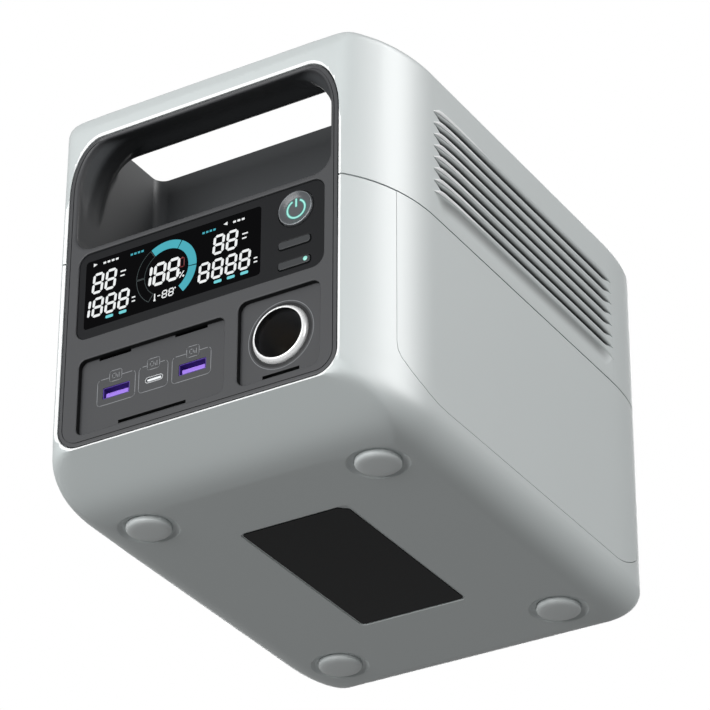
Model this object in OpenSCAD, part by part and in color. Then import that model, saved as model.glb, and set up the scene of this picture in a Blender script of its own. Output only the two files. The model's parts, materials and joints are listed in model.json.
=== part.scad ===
// Portable power station: two-part housing with a carry opening, recessed front panel,
// display, buttons, USB and 12 V sockets, battery pack, power board and fan.
// Heights named "..._z" are measured from the flat base plane, and the feet stand below it.

/* [Housing] */
// Width of the housing, side to side
body_w = 162.8; // [150:0.1:200]
// Depth of the housing, front plane to rear plane
body_d = 228; // [222:1:280]
// Height of the housing above its base plane
body_h = 172; // [168:1:210]
// Height of the joint between lower and top shell
part_z = 101.2; // [98:0.1:106]
// Wall thickness of both shells
wall = 3; // [2.6:0.1:3.6]
// Thickness of the frame behind the front panel's edge
frame_t = 5; // [4.4:0.1:6.5]
// Width of the ledge that the front panel rests on
ledge_w = 3; // [2:0.1:3.4]
// Fillet between side walls and base
base_r = 15; // [10:0.5:18]
// Fillet between side walls and top
top_r = 5; // [4:0.5:8]
// Height at which the front starts to slope back to the base
slope_h = 14; // [10:1:14]
// How far the front slopes back under the panel
slope_run = 30; // [20:1:36]
// Height of the leaning facet along the front of the grip
facet_h = 7.6; // [4:0.2:9]
// How far that facet leans back
facet_run = 3.4; // [1:0.2:5]
// Half-axis of the front corner curve, sideways
corner_ax = 39.25; // [30:0.25:45]
// Half-axis of the front corner curve, front to back
corner_by = 56.25; // [50:0.25:65]
// Distance from the front plane to where the sides run straight
corner_run = 45; // [40:1:48]
// Half-axis of the rear corner curve, sideways
rear_ax = 8; // [6:0.5:12]
// Half-axis of the rear corner curve, front to back
rear_by = 33; // [20:1:36]

/* [Side panels and louvres] */
// Thickness of a side panel
side_t = 1.4; // [1:0.1:1.6]
// Gap round a side panel
side_gap = 0.2; // [0.1:0.05:0.4]
// Height of the side panel's lower edge
side_z = 16.5; // [16:0.5:24]
// Distance from the front plane to the side panel's front edge
side_front = 21.8; // [18:0.2:30]
// Distance from the rear plane to the side panel's rear edge
side_rear = 8.6; // [6:0.2:14]
// Louvres on each side
louvre_n = 8; // [4:1:9]
// Height of the lowest louvre
louvre_z = 112.7; // [110:0.1:116]
// Spacing of the louvres
louvre_pitch = 5.64; // [4.5:0.02:5.8]
// Height of one louvre groove
louvre_h = 2.6; // [1.6:0.1:3]
// Depth of a louvre groove, where it isn't cut through
louvre_depth = 1.6; // [1:0.1:2]
// Distance from the front plane to the louvres' front tips
louvre_front = 45; // [45:1:60]
// Distance from the rear plane to the louvres' rear tips
louvre_rear = 30.4; // [26:0.2:45]

/* [Carry opening] */
// Width of the opening
grip_w = 120.4; // [90:0.2:121]
// Height of the opening's lower lip
grip_z = 105.6; // [105.6:0.1:112]
// Height of the underside of the grip bar
bar_z = 160.4; // [150:0.2:161]
// Depth of the grip bar, front plane to its rear face
bar_d = 28; // [22:0.5:32]
// Distance from the front plane to the pocket's rear wall
pocket_d = 58; // [50:0.5:60]
// Wall of the liner
liner_t = 2; // [1.6:0.1:2]
// Radius of the pocket's upright rear corners
pocket_r = 8; // [4:0.5:12]

/* [Front panel] */
// Width of the panel
panel_w = 128.6; // [126:0.2:131]
// Height of the panel's lower edge
panel_z0 = 14; // [14:0.2:16]
// Height of the panel's upper edge
panel_z1 = 158.6; // [150:0.2:160]
// Thickness of the panel
panel_t = 2.5; // [2:0.1:2.8]
// How far the panel sits behind the front plane
panel_set = 0.4; // [0.2:0.1:0.8]
// Radius of the panel's lower corners
panel_r = 10; // [6:0.5:14]
// Half-axis of the panel's upper corners, sideways
panel_rx = 15; // [10:0.5:20]
// Half-axis of the panel's upper corners, upwards
panel_rz = 25; // [15:0.5:30]

/* [Display and buttons] */
// Width of the display bezel
bezel_w = 115.4; // [112:0.2:117]
// Height of the bezel's lower edge
bezel_z = 62.9; // [60:0.1:64]
// Height of the bezel itself
bezel_h = 39.8; // [38:0.1:40]
// How far the bezel's face sits behind the front plane
bezel_set = 1; // [0.8:0.1:1.2]
// Width of the display window
lcd_w = 83.2; // [60:0.2:84]
// Height of the display window itself
lcd_h = 31.6; // [20:0.2:32]
// Sideways place of the display window's centre
lcd_x = -12.9; // [-14:0.1:-12]
// Height of the display window's lower edge
lcd_z = 67.4; // [66.8:0.1:68]
// Sideways place of the power button
power_x = 44.8; // [44:0.1:46]
// Height of the power button's centre
power_z = 92.1; // [91:0.1:92.6]
// Diameter of the power button
power_d = 16.6; // [12:0.2:17]
// Sideways place of the two pill buttons
pill_x = 44.5; // [44:0.1:46]
// Length of a pill button
pill_w = 14.8; // [10:0.2:16]
// Height of a pill button
pill_h = 3.8; // [3:0.1:4.2]
// Height of the upper pill button's centre
eco_z = 76.8; // [76:0.1:78]
// Height of the lower pill button's centre
dc_z = 67.4; // [67:0.1:68.5]
// Travel of the buttons
travel = 0.6; // [0.3:0.1:0.8]
// Gap round a button
button_gap = 0.3; // [0.25:0.05:0.4]

/* [USB and 12 V sockets] */
// Left edge of the USB plate's opening
usb_x0 = -55.5; // [-57:0.1:-54]
// Right edge of the USB plate's opening
usb_x1 = 13; // [10:0.1:14]
// Upper edge of the USB plate's opening
usb_z1 = 53.2; // [50:0.1:56]
// Left edge of the 12 V plate's opening
car_x0 = 19.2; // [18:0.1:21]
// Right edge of the 12 V plate's opening
car_x1 = 56.3; // [54:0.1:57]
// Upper edge of the 12 V plate's opening
car_z1 = 56.7; // [54:0.1:57]
// Lower edge of both openings
port_z0 = 19.3; // [19:0.1:20.5]
// Thickness of the two plates
plate_t = 2; // [1.6:0.1:2.6]
// Height of the USB ports' centre line
usb_z = 36.3; // [34:0.1:38]
// Sideways places of the two USB-A ports
usb_a_x = [-38.7, -2.9];
// Sideways place of the USB-C port
usb_c_x = -20.8; // [-22:0.1:-20]
// Sideways place of the 12 V socket
socket_x = 37.5; // [36:0.1:38]
// Height of the 12 V socket's centre
socket_z = 38.4; // [36:0.1:39]
// Bore of the 12 V socket
socket_bore = 21.1; // [20.9:0.05:21.5]
// Depth of that bore
socket_depth = 27; // [24:0.5:28]
// Diameter of the chrome ring
ring_d = 25.9; // [25.6:0.1:27]

/* [Battery] */
// Diameter of a battery cell
cell_d = 32.2; // [26:0.1:32.6]
// Length of a battery cell
cell_len = 70.5; // [60:0.5:72]
// Spacing of the cells
cell_pitch = 33.2; // [33:0.1:33.4]
// Cells in each direction
cell_n = 4; // [2:1:4]

/* [Fan] */
// Side of the square fan
fan_w = 60; // [50:1:60]
// Thickness of the fan
fan_t = 15; // [12:0.5:15]
// Clearance between blade tips and duct
fan_gap = 0.8; // [0.5:0.1:1.5]

/* [Feet and base] */
// How far the feet stand below the base plane
foot_h = 1.6; // [1.2:0.1:2.4]
// Diameter of a foot
foot_d = 18.6; // [16:0.2:20]
// Distance of the feet from the middle plane
foot_x = 53.1; // [50:0.1:56]
// Distance of the front feet from the front plane
foot_front = 49.4; // [48.4:0.1:49.4]
// Distance of the rear feet from the rear plane
foot_rear = 32.1; // [30:0.1:32.4]
// Width of the label plate
label_w = 49.2; // [30:0.2:60]
// Length of the label plate
label_l = 94.4; // [60:0.2:110]

/* [Hidden] */
$fn = 48;

slip = 0.05;          // clearance where one piece drops into another
fit_gap = 0.1;        // clearance between large moulded pieces
seam = 0.3;           // visible gap at the joint between the shells
eps = 0.01;           // keeps round ends from meeting in a point
cut = 1;              // how far a cutter runs past a face
hw = body_w / 2;
fy = -body_d / 2;     // front plane
ry = body_d / 2;      // rear plane
zb = foot_h;          // base plane
zp = zb + part_z;
zt = zb + body_h;
curve_n = 8;          // steps along a corner curve
fillet_n = 5;         // steps round a fillet

panel_back = fy + panel_set + panel_t;
plate_y = panel_back; // face of the two recessed plates
plate_back = plate_y + plate_t;
flange_t = 1.5;       // flange of the bezel behind the panel
lap = 1.5;            // how far flanges and plates reach behind the panel
bezel_back = panel_back + flange_t;
board_t = 1.6;        // thickness of every circuit board
module_y = bezel_back;
module_t = 6.5;
board_y = module_y + module_t;
bezel_top = bezel_z + bezel_h;

screw_r = 1.5;        // M3
head_r = 2.8;
head_t = 2;

// ---- plan outline and body ----

function corner(s, yf) = let (
        a = max(0.5, corner_ax - s),
        b = max(0.5, corner_by - s),
        cx = hw - s - a,
        cy = fy + corner_run,
        t0 = asin(min(1, (cy - yf) / b)))
    [for (i = [0:curve_n]) let (t = t0 * (1 - i / curve_n)) [cx + a * cos(t), cy - b * sin(t)]];
function rear_corner(s) = let (
        a = max(0.5, rear_ax - s),
        b = max(0.5, rear_by - s))
    [for (i = [0:curve_n]) let (t = 90 * i / curve_n) [hw - s - a + a * cos(t), ry - s - b + b * sin(t)]];
function half_plan(s, yf) = concat(corner(s, yf), rear_corner(s));
function mirrored(pts) = [for (i = [len(pts) - 1:-1:0]) [-pts[i][0], pts[i][1]]];
function plan(s, yf) = concat(half_plan(s, yf), mirrored(half_plan(s, yf)));

// How far the front lies behind the front plane at height z above the body's own floor
function front_back(z, h) = max(slope_run * max(0, 1 - z / slope_h), facet_run * max(0, 1 - (h - z) / facet_h));

// How far the sides lie inside the widest outline at height z
function side_in(z, h, rb, rt) = z < rb ? rb - sqrt(rb * rb - (rb - z) * (rb - z))
    : z > h - rt ? rt - sqrt(rt * rt - (z - h + rt) * (z - h + rt)) : 0;

// The body's outer form, or the same form w further in
module body(w) {
    h = body_h - 2 * w;
    rb = base_r - w;
    rt = max(0.6, top_r - w);
    levels = concat(
        [for (i = [0:fillet_n]) rb * (1 - cos(90 * i / fillet_n))],
        [max(rb, slope_h) + 0.5, h - facet_h],
        [for (i = [0:fillet_n]) h - rt + rt * sin(90 * i / fillet_n)]);
    n = 4 * (curve_n + 1);
    last = len(levels) - 1;
    polyhedron(
        points = [for (z = levels) let (s = w + side_in(z, h, rb, rt))
            for (p = plan(s, fy + w + front_back(z, h))) [p[0], p[1], zb + w + z]],
        faces = concat(
            [[for (i = [0:n - 1]) i]],
            [[for (i = [n - 1:-1:0]) last * n + i]],
            [for (k = [0:last - 1]) for (i = [0:n - 1]) let (j = (i + 1) % n)
                each [[k * n + i, (k + 1) * n + i, (k + 1) * n + j], [k * n + i, (k + 1) * n + j, k * n + j]]]));
}

// Half-space below or above a height
module below(z) {
    translate([-body_w, -body_d, -cut])
        cube([2 * body_w, 2 * body_d, z + cut]);
}

module above(z) {
    translate([-body_w, -body_d, z])
        cube([2 * body_w, 2 * body_d, body_h]);
}

// ---- shapes drawn in the front view, x across and z up, from y0 back to y1 ----

module front_plate(y0, y1) {
    translate([0, y1, 0])
        rotate([90, 0, 0])
            linear_extrude(y1 - y0)
                children();
}

// Cylinder along Y
module rod(x, z, r, y0, y1) {
    translate([x, y0, z])
        rotate([-90, 0, 0])
            cylinder(h = y1 - y0, r = r);
}

module rounded(x0, x1, z0, z1, r) {
    translate([x0 + r, z0])
        square([x1 - x0 - 2 * r, z1 - z0]);
    translate([x0, z0 + r])
        square([x1 - x0, z1 - z0 - 2 * r]);
    for (x = [x0 + r, x1 - r])
        for (z = [z0 + r, z1 - r])
            translate([x, z])
                circle(r);
}

// Arch outline: round lower corners and elliptical upper corners
function arch(w, z0, z1, r, rx, rz) = let (
    side = concat(
        [for (i = [0:curve_n]) let (t = -90 + 90 * i / curve_n) [w / 2 - r + r * cos(t), z0 + r + r * sin(t)]],
        [for (i = [0:curve_n]) let (t = 90 * i / curve_n) [w / 2 - rx + rx * cos(t), z1 - rz + rz * sin(t)]]))
    concat(side, mirrored(side));

module panel_outline(grow) {
    polygon(arch(panel_w + 2 * grow, zb + panel_z0 - grow, zb + panel_z1 + grow,
        panel_r + grow, panel_rx + grow, panel_rz + grow));
}

// The carry opening follows the panel's upper corners
opening_in = (panel_w - grip_w) / 2;
opening_r = 8;
module opening_outline(grow) {
    polygon(arch(grip_w + 2 * grow, zb + grip_z - grow, zb + bar_z + grow,
        opening_r + grow, panel_rx - opening_in + 3 + grow, panel_rz - opening_in + grow));
}

module usb_opening(grow) {
    rounded(usb_x0 - grow, usb_x1 + grow, zb + port_z0 - grow, zb + usb_z1 + grow, 3);
}

module car_opening(grow) {
    rounded(car_x0 - grow, car_x1 + grow, zb + port_z0 - grow, zb + car_z1 + grow, 3.5);
}

module bezel_outline(grow, top) {
    rounded(-bezel_w / 2 - grow, bezel_w / 2 + grow, zb + bezel_z - grow, zb + bezel_top + top, 5);
}

module pill(z, grow) {
    rounded(pill_x - pill_w / 2 - grow, pill_x + pill_w / 2 + grow,
        zb + z - pill_h / 2 - grow, zb + z + pill_h / 2 + grow, pill_h / 2 + grow - eps);
}

// ---- shells ----

boss_r = 4.6;
counter_r = 3.3;      // counterbore for the screw heads
clear_r = 1.7;
pilot_r = 1.3;
front_boss_top = zb + 82;
screw_seat = 12;      // plastic between a screw's head and the top of its boss
screw_len = 24;
foot_recess = 1.2;
foot_y = [fy + foot_front, ry - foot_rear];

module at_feet() {
    for (x = [-foot_x, foot_x])
        for (y = foot_y)
            translate([x, y, 0])
                children();
}

// Side panel outline, seen from the side: y back and z up
module side_outline(grow) {
    y0 = fy + side_front - grow;
    y1 = ry - side_rear + grow;
    z0 = zb + side_z - grow;
    chamfer_front = [[y0, z0 + 14.7], [y0 + 2.3, z0 + 10.4], [y0 + 12.3, z0 + 4.3], [y0 + 26.2, z0]];
    chamfer_rear = [[y1 - 21.6, z0], [y1 - 16, z0 + 1.4], [y1 - 1.5, z0 + 8.6], [y1, z0 + 12.6]];
    polygon(concat(chamfer_front, chamfer_rear, [[y1, zp - seam / 2], [y0, zp - seam / 2]]));
}

// That outline as a prism through the housing's right or left half
module side_prism(side, grow) {
    translate([side > 0 ? 0 : -body_w, 0, 0])
        rotate([90, 0, 90])
            linear_extrude(body_w)
                side_outline(grow);
}

module front_frame() {
    intersection() {
        body(0);
        translate([-hw, fy - cut, zb])
            cube([body_w, frame_t + cut, body_h]);
    }
}

module panel_pocket() {
    front_plate(fy - cut, panel_back)
        panel_outline(0);
    front_plate(fy - cut, fy + frame_t + cut)
        panel_outline(-ledge_w);
}

rib_t = 2;
seat_z = zb + wall + 2;          // the battery pack stands on ribs of this height
pack_half = (cell_n - 1) / 2 * cell_pitch + cell_d / 2 + 1.4;
pack_y0 = fy + foot_front + boss_r + 1;
pack_len = 2 * pack_half;
pack_y1 = pack_y0 + pack_len;
frame_z = zp - 5.6;              // underside of the mid frame
bracket_len = 14;
jack_x = -42;
jack_z = zb + 34;
jack_r = 5.5;
jack_flange_r = 8.6;
jack_pad = 4;

module lower_shell() color("#b9bfbf") {
    difference() {
        union() {
            intersection() {
                union() {
                    difference() {
                        body(0);
                        body(wall);
                    }
                    front_frame();
                }
                below(zp - seam / 2);
            }
            for (x = [-foot_x, foot_x]) {
                translate([x, foot_y[0], zb + wall / 2])
                    cylinder(h = front_boss_top - zb - wall / 2, r = boss_r);
                translate([x, foot_y[1], zb + wall / 2])
                    cylinder(h = zp - seam / 2 - zb - wall / 2, r = boss_r);
            }
            for (x = [-pack_half / 2, pack_half / 2])
                translate([x - rib_t / 2, pack_y0, zb + wall / 2])
                    cube([rib_t, pack_len, seat_z - zb - wall / 2]);
            for (side = [-1, 1])
                for (y = [pack_y0 + 24, pack_y1 - 24 - bracket_len])
                    translate([side > 0 ? hw - wall - 9 : -hw + wall / 2, y, frame_z - 8])
                        cube([9 + wall / 2, bracket_len, 8]);
            rod(jack_x, jack_z, 11, ry - wall - jack_pad, ry - wall / 2);
        }
        panel_pocket();
        for (side = [-1, 1])
            intersection() {
                difference() {
                    translate([-body_w, -body_d, 0])
                        cube([2 * body_w, 2 * body_d, zt]);
                    body(side_t + fit_gap);
                }
                side_prism(side, side_gap);
            }
        at_feet()
            translate([0, 0, zb - cut])
                cylinder(h = foot_recess + cut, r = foot_d / 2 + 0.9);
        for (x = [-foot_x, foot_x])
            for (i = [0, 1]) {
                top = i == 0 ? front_boss_top : zp - seam / 2;
                translate([x, foot_y[i], zb - cut])
                    cylinder(h = top - screw_seat - zb + cut, r = counter_r);
                translate([x, foot_y[i], zb])
                    cylinder(h = top - zb + cut, r = clear_r);
            }
        translate([-label_w / 2, label_y - label_l / 2, zb - cut])
            cube([label_w, label_l, label_in + cut]);
        rod(jack_x, jack_z, jack_flange_r + 0.4, ry - 2.2, ry + cut);
        rod(jack_x, jack_z, jack_r + slip, ry - wall - jack_pad - cut, ry);
    }
}

module side_panel(side) {
    intersection() {
        difference() {
            body(0);
            body(side_t);
        }
        side_prism(side, 0);
    }
}

module side_panel_left() color("#bcc2c2") {
    side_panel(-1);
}

module side_panel_right() color("#bcc2c2") {
    side_panel(1);
}

slot_n = 4;
slot_h = 1.2;
slot_rib = 4;

// One louvre: a long groove, cut through between short ribs
module louvre(z) {
    y0 = fy + louvre_front;
    len = body_d - louvre_front - louvre_rear;
    slot = (len - 16 - slot_rib * (slot_n - 1)) / slot_n;
    for (side = [-1, 1]) {
        translate([side > 0 ? hw - louvre_depth : -hw - cut, y0, z - louvre_h / 2])
            cube([louvre_depth + cut, len, louvre_h]);
        for (i = [0:slot_n - 1])
            translate([side > 0 ? hw - wall - cut : -hw - cut, y0 + 8 + i * (slot + slot_rib), z - slot_h / 2])
                cube([wall + 2 * cut, slot, slot_h]);
    }
}

module top_shell() color("#c6cccc") {
    difference() {
        union() {
            intersection() {
                union() {
                    difference() {
                        body(0);
                        body(wall);
                    }
                    front_frame();
                }
                above(zp + seam / 2);
            }
            for (x = [-foot_x, foot_x])
                translate([x, foot_y[1], zp - seam / 2])
                    cylinder(h = zt - wall / 2 - zp, r = boss_r);
        }
        panel_pocket();
        // hole over the pocket
        pocket(liner_t + fit_gap, zt + cut);
        // room for the liner's roof under the grip bar
        front_plate(panel_back, fy + frame_t + cut)
            opening_outline(liner_t + fit_gap);
        for (i = [0:louvre_n - 1])
            louvre(zb + louvre_z + i * louvre_pitch);
        for (x = [-foot_x, foot_x])
            translate([x, foot_y[1], zp - cut])
                cylinder(h = screw_len - screw_seat + 2 + cut, r = pilot_r);
    }
}

// ---- carry opening ----

bar_r = 8;            // rounding of the grip bar's lower rear edge

// Air behind the bar: an upright pocket with round corners, open at the top
module pocket(grow, z1) {
    r = pocket_r + grow;
    half = grip_w / 2 + grow;
    y0 = fy + bar_d - grow;
    y1 = fy + pocket_d + grow;
    intersection() {
        linear_extrude(z1) {
            translate([-half, y0])
                square([2 * half, y1 - r - y0]);
            translate([-half + r, y1 - 2 * r])
                square([2 * half - 2 * r, 2 * r]);
            for (x = [-half + r, half - r])
                translate([x, y1 - r])
                    circle(r);
        }
        front_plate(y0 - cut, y1 + cut)
            polygon(arch(2 * half, zb + grip_z - grow, z1 + cut, opening_r + grow, cut, cut));
    }
}

module handle_liner() color("#3b3d3f") {
    difference() {
        union() {
            front_plate(panel_back, fy + bar_d)
                opening_outline(liner_t);
            pocket(liner_t, zt - 0.5);
            translate([-grip_w / 2, fy + bar_d - bar_r - liner_t, zb + bar_z])
                cube([grip_w, bar_r, zt - wall - fit_gap - zb - bar_z]);
            for (x = [-foot_x, foot_x])
                translate([x, foot_y[0], front_boss_top])
                    cylinder(h = zb + grip_z - front_boss_top - liner_t / 2, r = boss_r - 0.6);
        }
        front_plate(panel_back - cut, fy + bar_d + slip)
            opening_outline(0);
        pocket(0, zt + cut);
        // round the bar's lower rear edge
        difference() {
            translate([-grip_w / 2, fy + bar_d - bar_r, zb + bar_z - slip])
                cube([grip_w, bar_r + slip, bar_r + slip]);
            translate([-grip_w / 2 - cut, fy + bar_d - bar_r, zb + bar_z + bar_r])
                rotate([0, 90, 0])
                    cylinder(h = grip_w + 2 * cut, r = bar_r);
        }
        for (x = [-foot_x, foot_x])
            translate([x, foot_y[0], front_boss_top - cut])
                cylinder(h = screw_len - screw_seat + 2 + cut, r = pilot_r);
    }
}

// ---- front panel and what it holds ----

module front_panel() color("#58595b") {
    difference() {
        front_plate(fy + panel_set, panel_back)
            panel_outline(-0.25);
        front_plate(fy, panel_back + cut)
            opening_outline(0);
        front_plate(fy, panel_back + cut)
            bezel_outline(0.2, 0.2);
        front_plate(fy, panel_back + cut)
            usb_opening(0);
        front_plate(fy, panel_back + cut)
            car_opening(0);
    }
}

window_in = 1;        // depth of the recess that holds the window
window_lap = 1.5;
module_in = 1;
post_r = 1.2;
thread_r = 0.7;
post_x = lcd_x + lcd_w / 2 + module_in + post_r + 1;
bezel_posts = [[-40, bezel_z + 1.3], [-40, bezel_top - 1.3], [post_x, bezel_z + 8], [post_x, bezel_top - 4]];

module lcd_outline(grow) {
    rounded(lcd_x - lcd_w / 2 - grow, lcd_x + lcd_w / 2 + grow, zb + lcd_z - grow, zb + lcd_z + lcd_h + grow, 1.5);
}

module display_bezel() color("#252729") {
    difference() {
        union() {
            front_plate(fy + bezel_set, panel_back)
                bezel_outline(0, 0);
            front_plate(panel_back, bezel_back)
                bezel_outline(lap, 0.4);
            for (p = bezel_posts)
                rod(p[0], zb + p[1], post_r, bezel_back - slip, board_y);
        }
        front_plate(fy, fy + bezel_set + window_in)
            lcd_outline(0);
        front_plate(fy, bezel_back + cut)
            lcd_outline(-window_lap);
        rod(power_x, zb + power_z, power_d / 2 + button_gap, fy, bezel_back + cut);
        front_plate(fy, bezel_back + cut)
            pill(eco_z, button_gap);
        front_plate(fy, bezel_back + cut)
            pill(dc_z, button_gap);
        for (p = bezel_posts)
            rod(p[0], zb + p[1], thread_r, board_y - 5, board_y + cut);
    }
}

module display_window() color("#0a0b0c") {
    front_plate(fy + bezel_set, fy + bezel_set + window_in)
        lcd_outline(-slip);
}

module display_module() color("#d8dadb") {
    translate([lcd_x - lcd_w / 2 - module_in, module_y, zb + lcd_z - module_in])
        cube([lcd_w + 2 * module_in, module_t, lcd_h + 2 * module_in]);
}

module control_board() color("#1f5a3a") {
    difference() {
        translate([-bezel_w / 2, board_y, zb + bezel_z])
            cube([bezel_w, board_t, bezel_h]);
        for (p = bezel_posts)
            rod(p[0], zb + p[1], thread_r + 0.2, board_y - cut, board_y + board_t + cut);
    }
}

button_spots = [[power_x, power_z], [pill_x, eco_z], [pill_x, dc_z]];
flange_y = bezel_back + 0.3;     // front of the buttons' flanges
button_flange = 1;
stem_r = 1.4;
plunger_r = 1.2;
plunger_len = 0.8;
switch_w = 3.6;
switch_h = 2.6;
switch_y = board_y - switch_h;   // front of a switch body
stem_end = switch_y - plunger_len - travel - 0.3;

module tact_switches() color("#202224") {
    for (p = button_spots) {
        translate([p[0] - switch_w / 2, switch_y, zb + p[1] - switch_w / 2])
            cube([switch_w, switch_h, switch_w]);
        rod(p[0], zb + p[1], plunger_r, switch_y - plunger_len, switch_y + slip);
    }
}

dome_rise = 0.8;
dome_r = (power_d * power_d / 4 + dome_rise * dome_rise) / (2 * dome_rise);
symbol_in = 0.8;      // depth of the lit symbol in the cap
symbol_r = 4.7;
symbol_line = 0.95;

module power_cap() {
    intersection() {
        rod(power_x, zb + power_z, power_d / 2, fy + 0.1, flange_y + slip, $fn = 96);
        translate([power_x, fy + 0.1 + dome_r, zb + power_z])
            sphere(r = dome_r, $fn = 240);
    }
}

module symbol(grow) {
    front_plate(fy, fy + 0.1 + dome_rise + symbol_in)
        translate([power_x, zb + power_z]) {
            difference() {
                circle(symbol_r + grow, $fn = 96);
                circle(symbol_r - symbol_line - grow, $fn = 96);
                translate([-1.7 + grow, 0])
                    square([3.4 - 2 * grow, symbol_r + cut]);
            }
            translate([-symbol_line / 2 - grow, 0.6 - grow])
                square([symbol_line + 2 * grow, symbol_r + 2 * grow]);
        }
}

module power_button() color("#3a3c3e") {
    difference() {
        power_cap();
        symbol(slip);
    }
    rod(power_x, zb + power_z, power_d / 2 + 1, flange_y, flange_y + button_flange);
    rod(power_x, zb + power_z, stem_r, flange_y, stem_end);
}

module power_symbol() color("#7fe6dc") {
    intersection() {
        power_cap();
        symbol(0);
    }
}

pill_face = fy + 0.5;
module pill_button(z) {
    front_plate(pill_face, flange_y + slip)
        pill(z, 0);
    front_plate(flange_y, flange_y + button_flange)
        pill(z, 0.9);
    rod(pill_x, zb + z, stem_r, flange_y, stem_end);
}

module upper_button() color("#55585a") {
    pill_button(eco_z);
}

light_x = pill_x + pill_w / 2 - 2.2;
light_r = 1.05;
light_len = 3;

module lower_button() color("#55585a") {
    difference() {
        pill_button(dc_z);
        rod(light_x, zb + dc_z, light_r + slip, fy, pill_face + light_len);
    }
}

module lower_button_light() color("#b9fff0") {
    rod(light_x, zb + dc_z, light_r, pill_face, pill_face + light_len);
}

// ---- USB ports ----

a_w = 12.9;
a_h = 5.6;
a_wall = 0.3;
a_len = 14;
c_w = 9;
c_h = 3.3;
c_wall = 0.25;
c_len = 9;
port_y = plate_y + 0.3;
notch_h = 1.4;
notch_low = zb + port_z0 + panel_t * 1.05;

module a_port(x, w, h, y0, y1) {
    translate([x - w / 2, y0, zb + usb_z - h / 2])
        cube([w, y1 - y0, h]);
}

module c_port(w, h, y0, y1) {
    front_plate(y0, y1)
        rounded(usb_c_x - w / 2, usb_c_x + w / 2, zb + usb_z - h / 2, zb + usb_z + h / 2, h / 2 - eps);
}

module notch(x0, x1, z) {
    translate([x0, plate_y - cut, z])
        cube([x1 - x0, plate_t + 2 * cut, notch_h]);
}

module usb_plate() color("#55575a") {
    difference() {
        front_plate(plate_y, plate_back)
            usb_opening(lap);
        for (x = usb_a_x)
            a_port(x, a_w + 2 * slip, a_h + 2 * slip, plate_y - cut, plate_back + cut);
        c_port(c_w + 2 * slip, c_h + 2 * slip, plate_y - cut, plate_back + cut);
        notch(usb_x0 + 8.4, usb_x0 + 23.5, zb + usb_z1 - notch_h);
        notch(usb_x1 - 24.4, usb_x1 - 9.2, zb + usb_z1 - notch_h);
        notch(usb_x0 + 18.4, usb_x1 - 18.6, notch_low);
    }
}

module usb_a_shells() color("#a9adb0") {
    for (x = usb_a_x)
        difference() {
            a_port(x, a_w, a_h, port_y, port_y + a_len);
            a_port(x, a_w - 2 * a_wall, a_h - 2 * a_wall, port_y - cut, port_y + a_len - a_wall);
        }
}

module usb_a_tongues() color("#8e63d6") {
    for (x = usb_a_x) {
        translate([x - 5.5, port_y + 1.2, zb + usb_z - 1.6])
            cube([11, a_len - 1.2 - a_wall, 1.9]);
        a_port(x, a_w - 2 * a_wall - 2 * slip, a_h - 2 * a_wall - 2 * slip, port_y + 9, port_y + a_len - a_wall);
    }
}

module usb_c_shell() color("#d4d7d9") {
    difference() {
        c_port(c_w, c_h, port_y, port_y + c_len);
        c_port(c_w - 2 * c_wall, c_h - 2 * c_wall, port_y - cut, port_y + c_len - c_wall);
    }
}

module usb_c_tongue() color("#e8eaec") {
    a_port(usb_c_x, 6.6, 0.7, port_y + 0.8, port_y + c_len - c_wall);
    c_port(c_w - 2 * c_wall - 2 * slip, c_h - 2 * c_wall - 2 * slip, port_y + 6, port_y + c_len - c_wall);
}

module usb_board() color("#1f5a3a") {
    translate([usb_x0 + 5, plate_back + fit_gap, zb + usb_z - a_h / 2 - board_t])
        cube([usb_x1 - usb_x0 - 8, 32, board_t]);
    // block under the USB-C shell, which sits higher than the USB-A shells
    translate([usb_c_x - 3, plate_back + 0.4, zb + usb_z - a_h / 2 - eps])
        cube([6, c_len - plate_t - 1, (a_h - c_h) / 2]);
}

// ---- 12 V socket, built along Y ----

barrel_wall = 1.25;
barrel_r = socket_bore / 2 + barrel_wall;
deep_r = socket_bore / 2 - 1.1;  // narrower end that holds the spring contact
barrel_end = plate_y + socket_depth + 11;
ring_rise = 1.3;
insulator_t = 4;
contact_y = plate_y + socket_depth + 1.2;
contact_r = 4.4;
contact_t = 1.4;
pin_r = 1.8;
contact_travel = 2.5;

module socket_plate() color("#55575a") {
    difference() {
        front_plate(plate_y, plate_back)
            car_opening(lap);
        rod(socket_x, zb + socket_z, barrel_r + slip, plate_y - cut, plate_back + cut);
        notch(socket_x - 8.2, socket_x + 8.6, notch_low);
    }
}

module socket_ring() color("#e6e8ea") {
    translate([socket_x, plate_y, zb + socket_z])
        rotate([90, 0, 0])
            rotate_extrude($fn = 72)
                polygon([[socket_bore / 2 + 0.2, 0], [ring_d / 2, 0], [ring_d / 2, 0.5],
                    [ring_d / 2 - 0.5, ring_rise], [ring_d / 2 - 1.1, ring_rise], [socket_bore / 2 + 0.2, 0.4]]);
}

module socket_barrel() color("#17181a") {
    difference() {
        rod(socket_x, zb + socket_z, barrel_r, plate_y, barrel_end);
        rod(socket_x, zb + socket_z, socket_bore / 2, plate_y - cut, plate_y + socket_depth);
        rod(socket_x, zb + socket_z, deep_r, plate_y, barrel_end + cut);
    }
}

module socket_nut() color("#202224") {
    difference() {
        rod(socket_x, zb + socket_z, barrel_r + 3, plate_back, plate_back + 5);
        rod(socket_x, zb + socket_z, barrel_r + slip, plate_back - cut, plate_back + 5 + cut);
    }
}

module socket_insulator() color("#d9d3c4") {
    difference() {
        rod(socket_x, zb + socket_z, deep_r - slip, barrel_end - insulator_t, barrel_end);
        rod(socket_x, zb + socket_z, pin_r + 0.08, barrel_end - insulator_t - cut, barrel_end + cut);
    }
}

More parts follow.
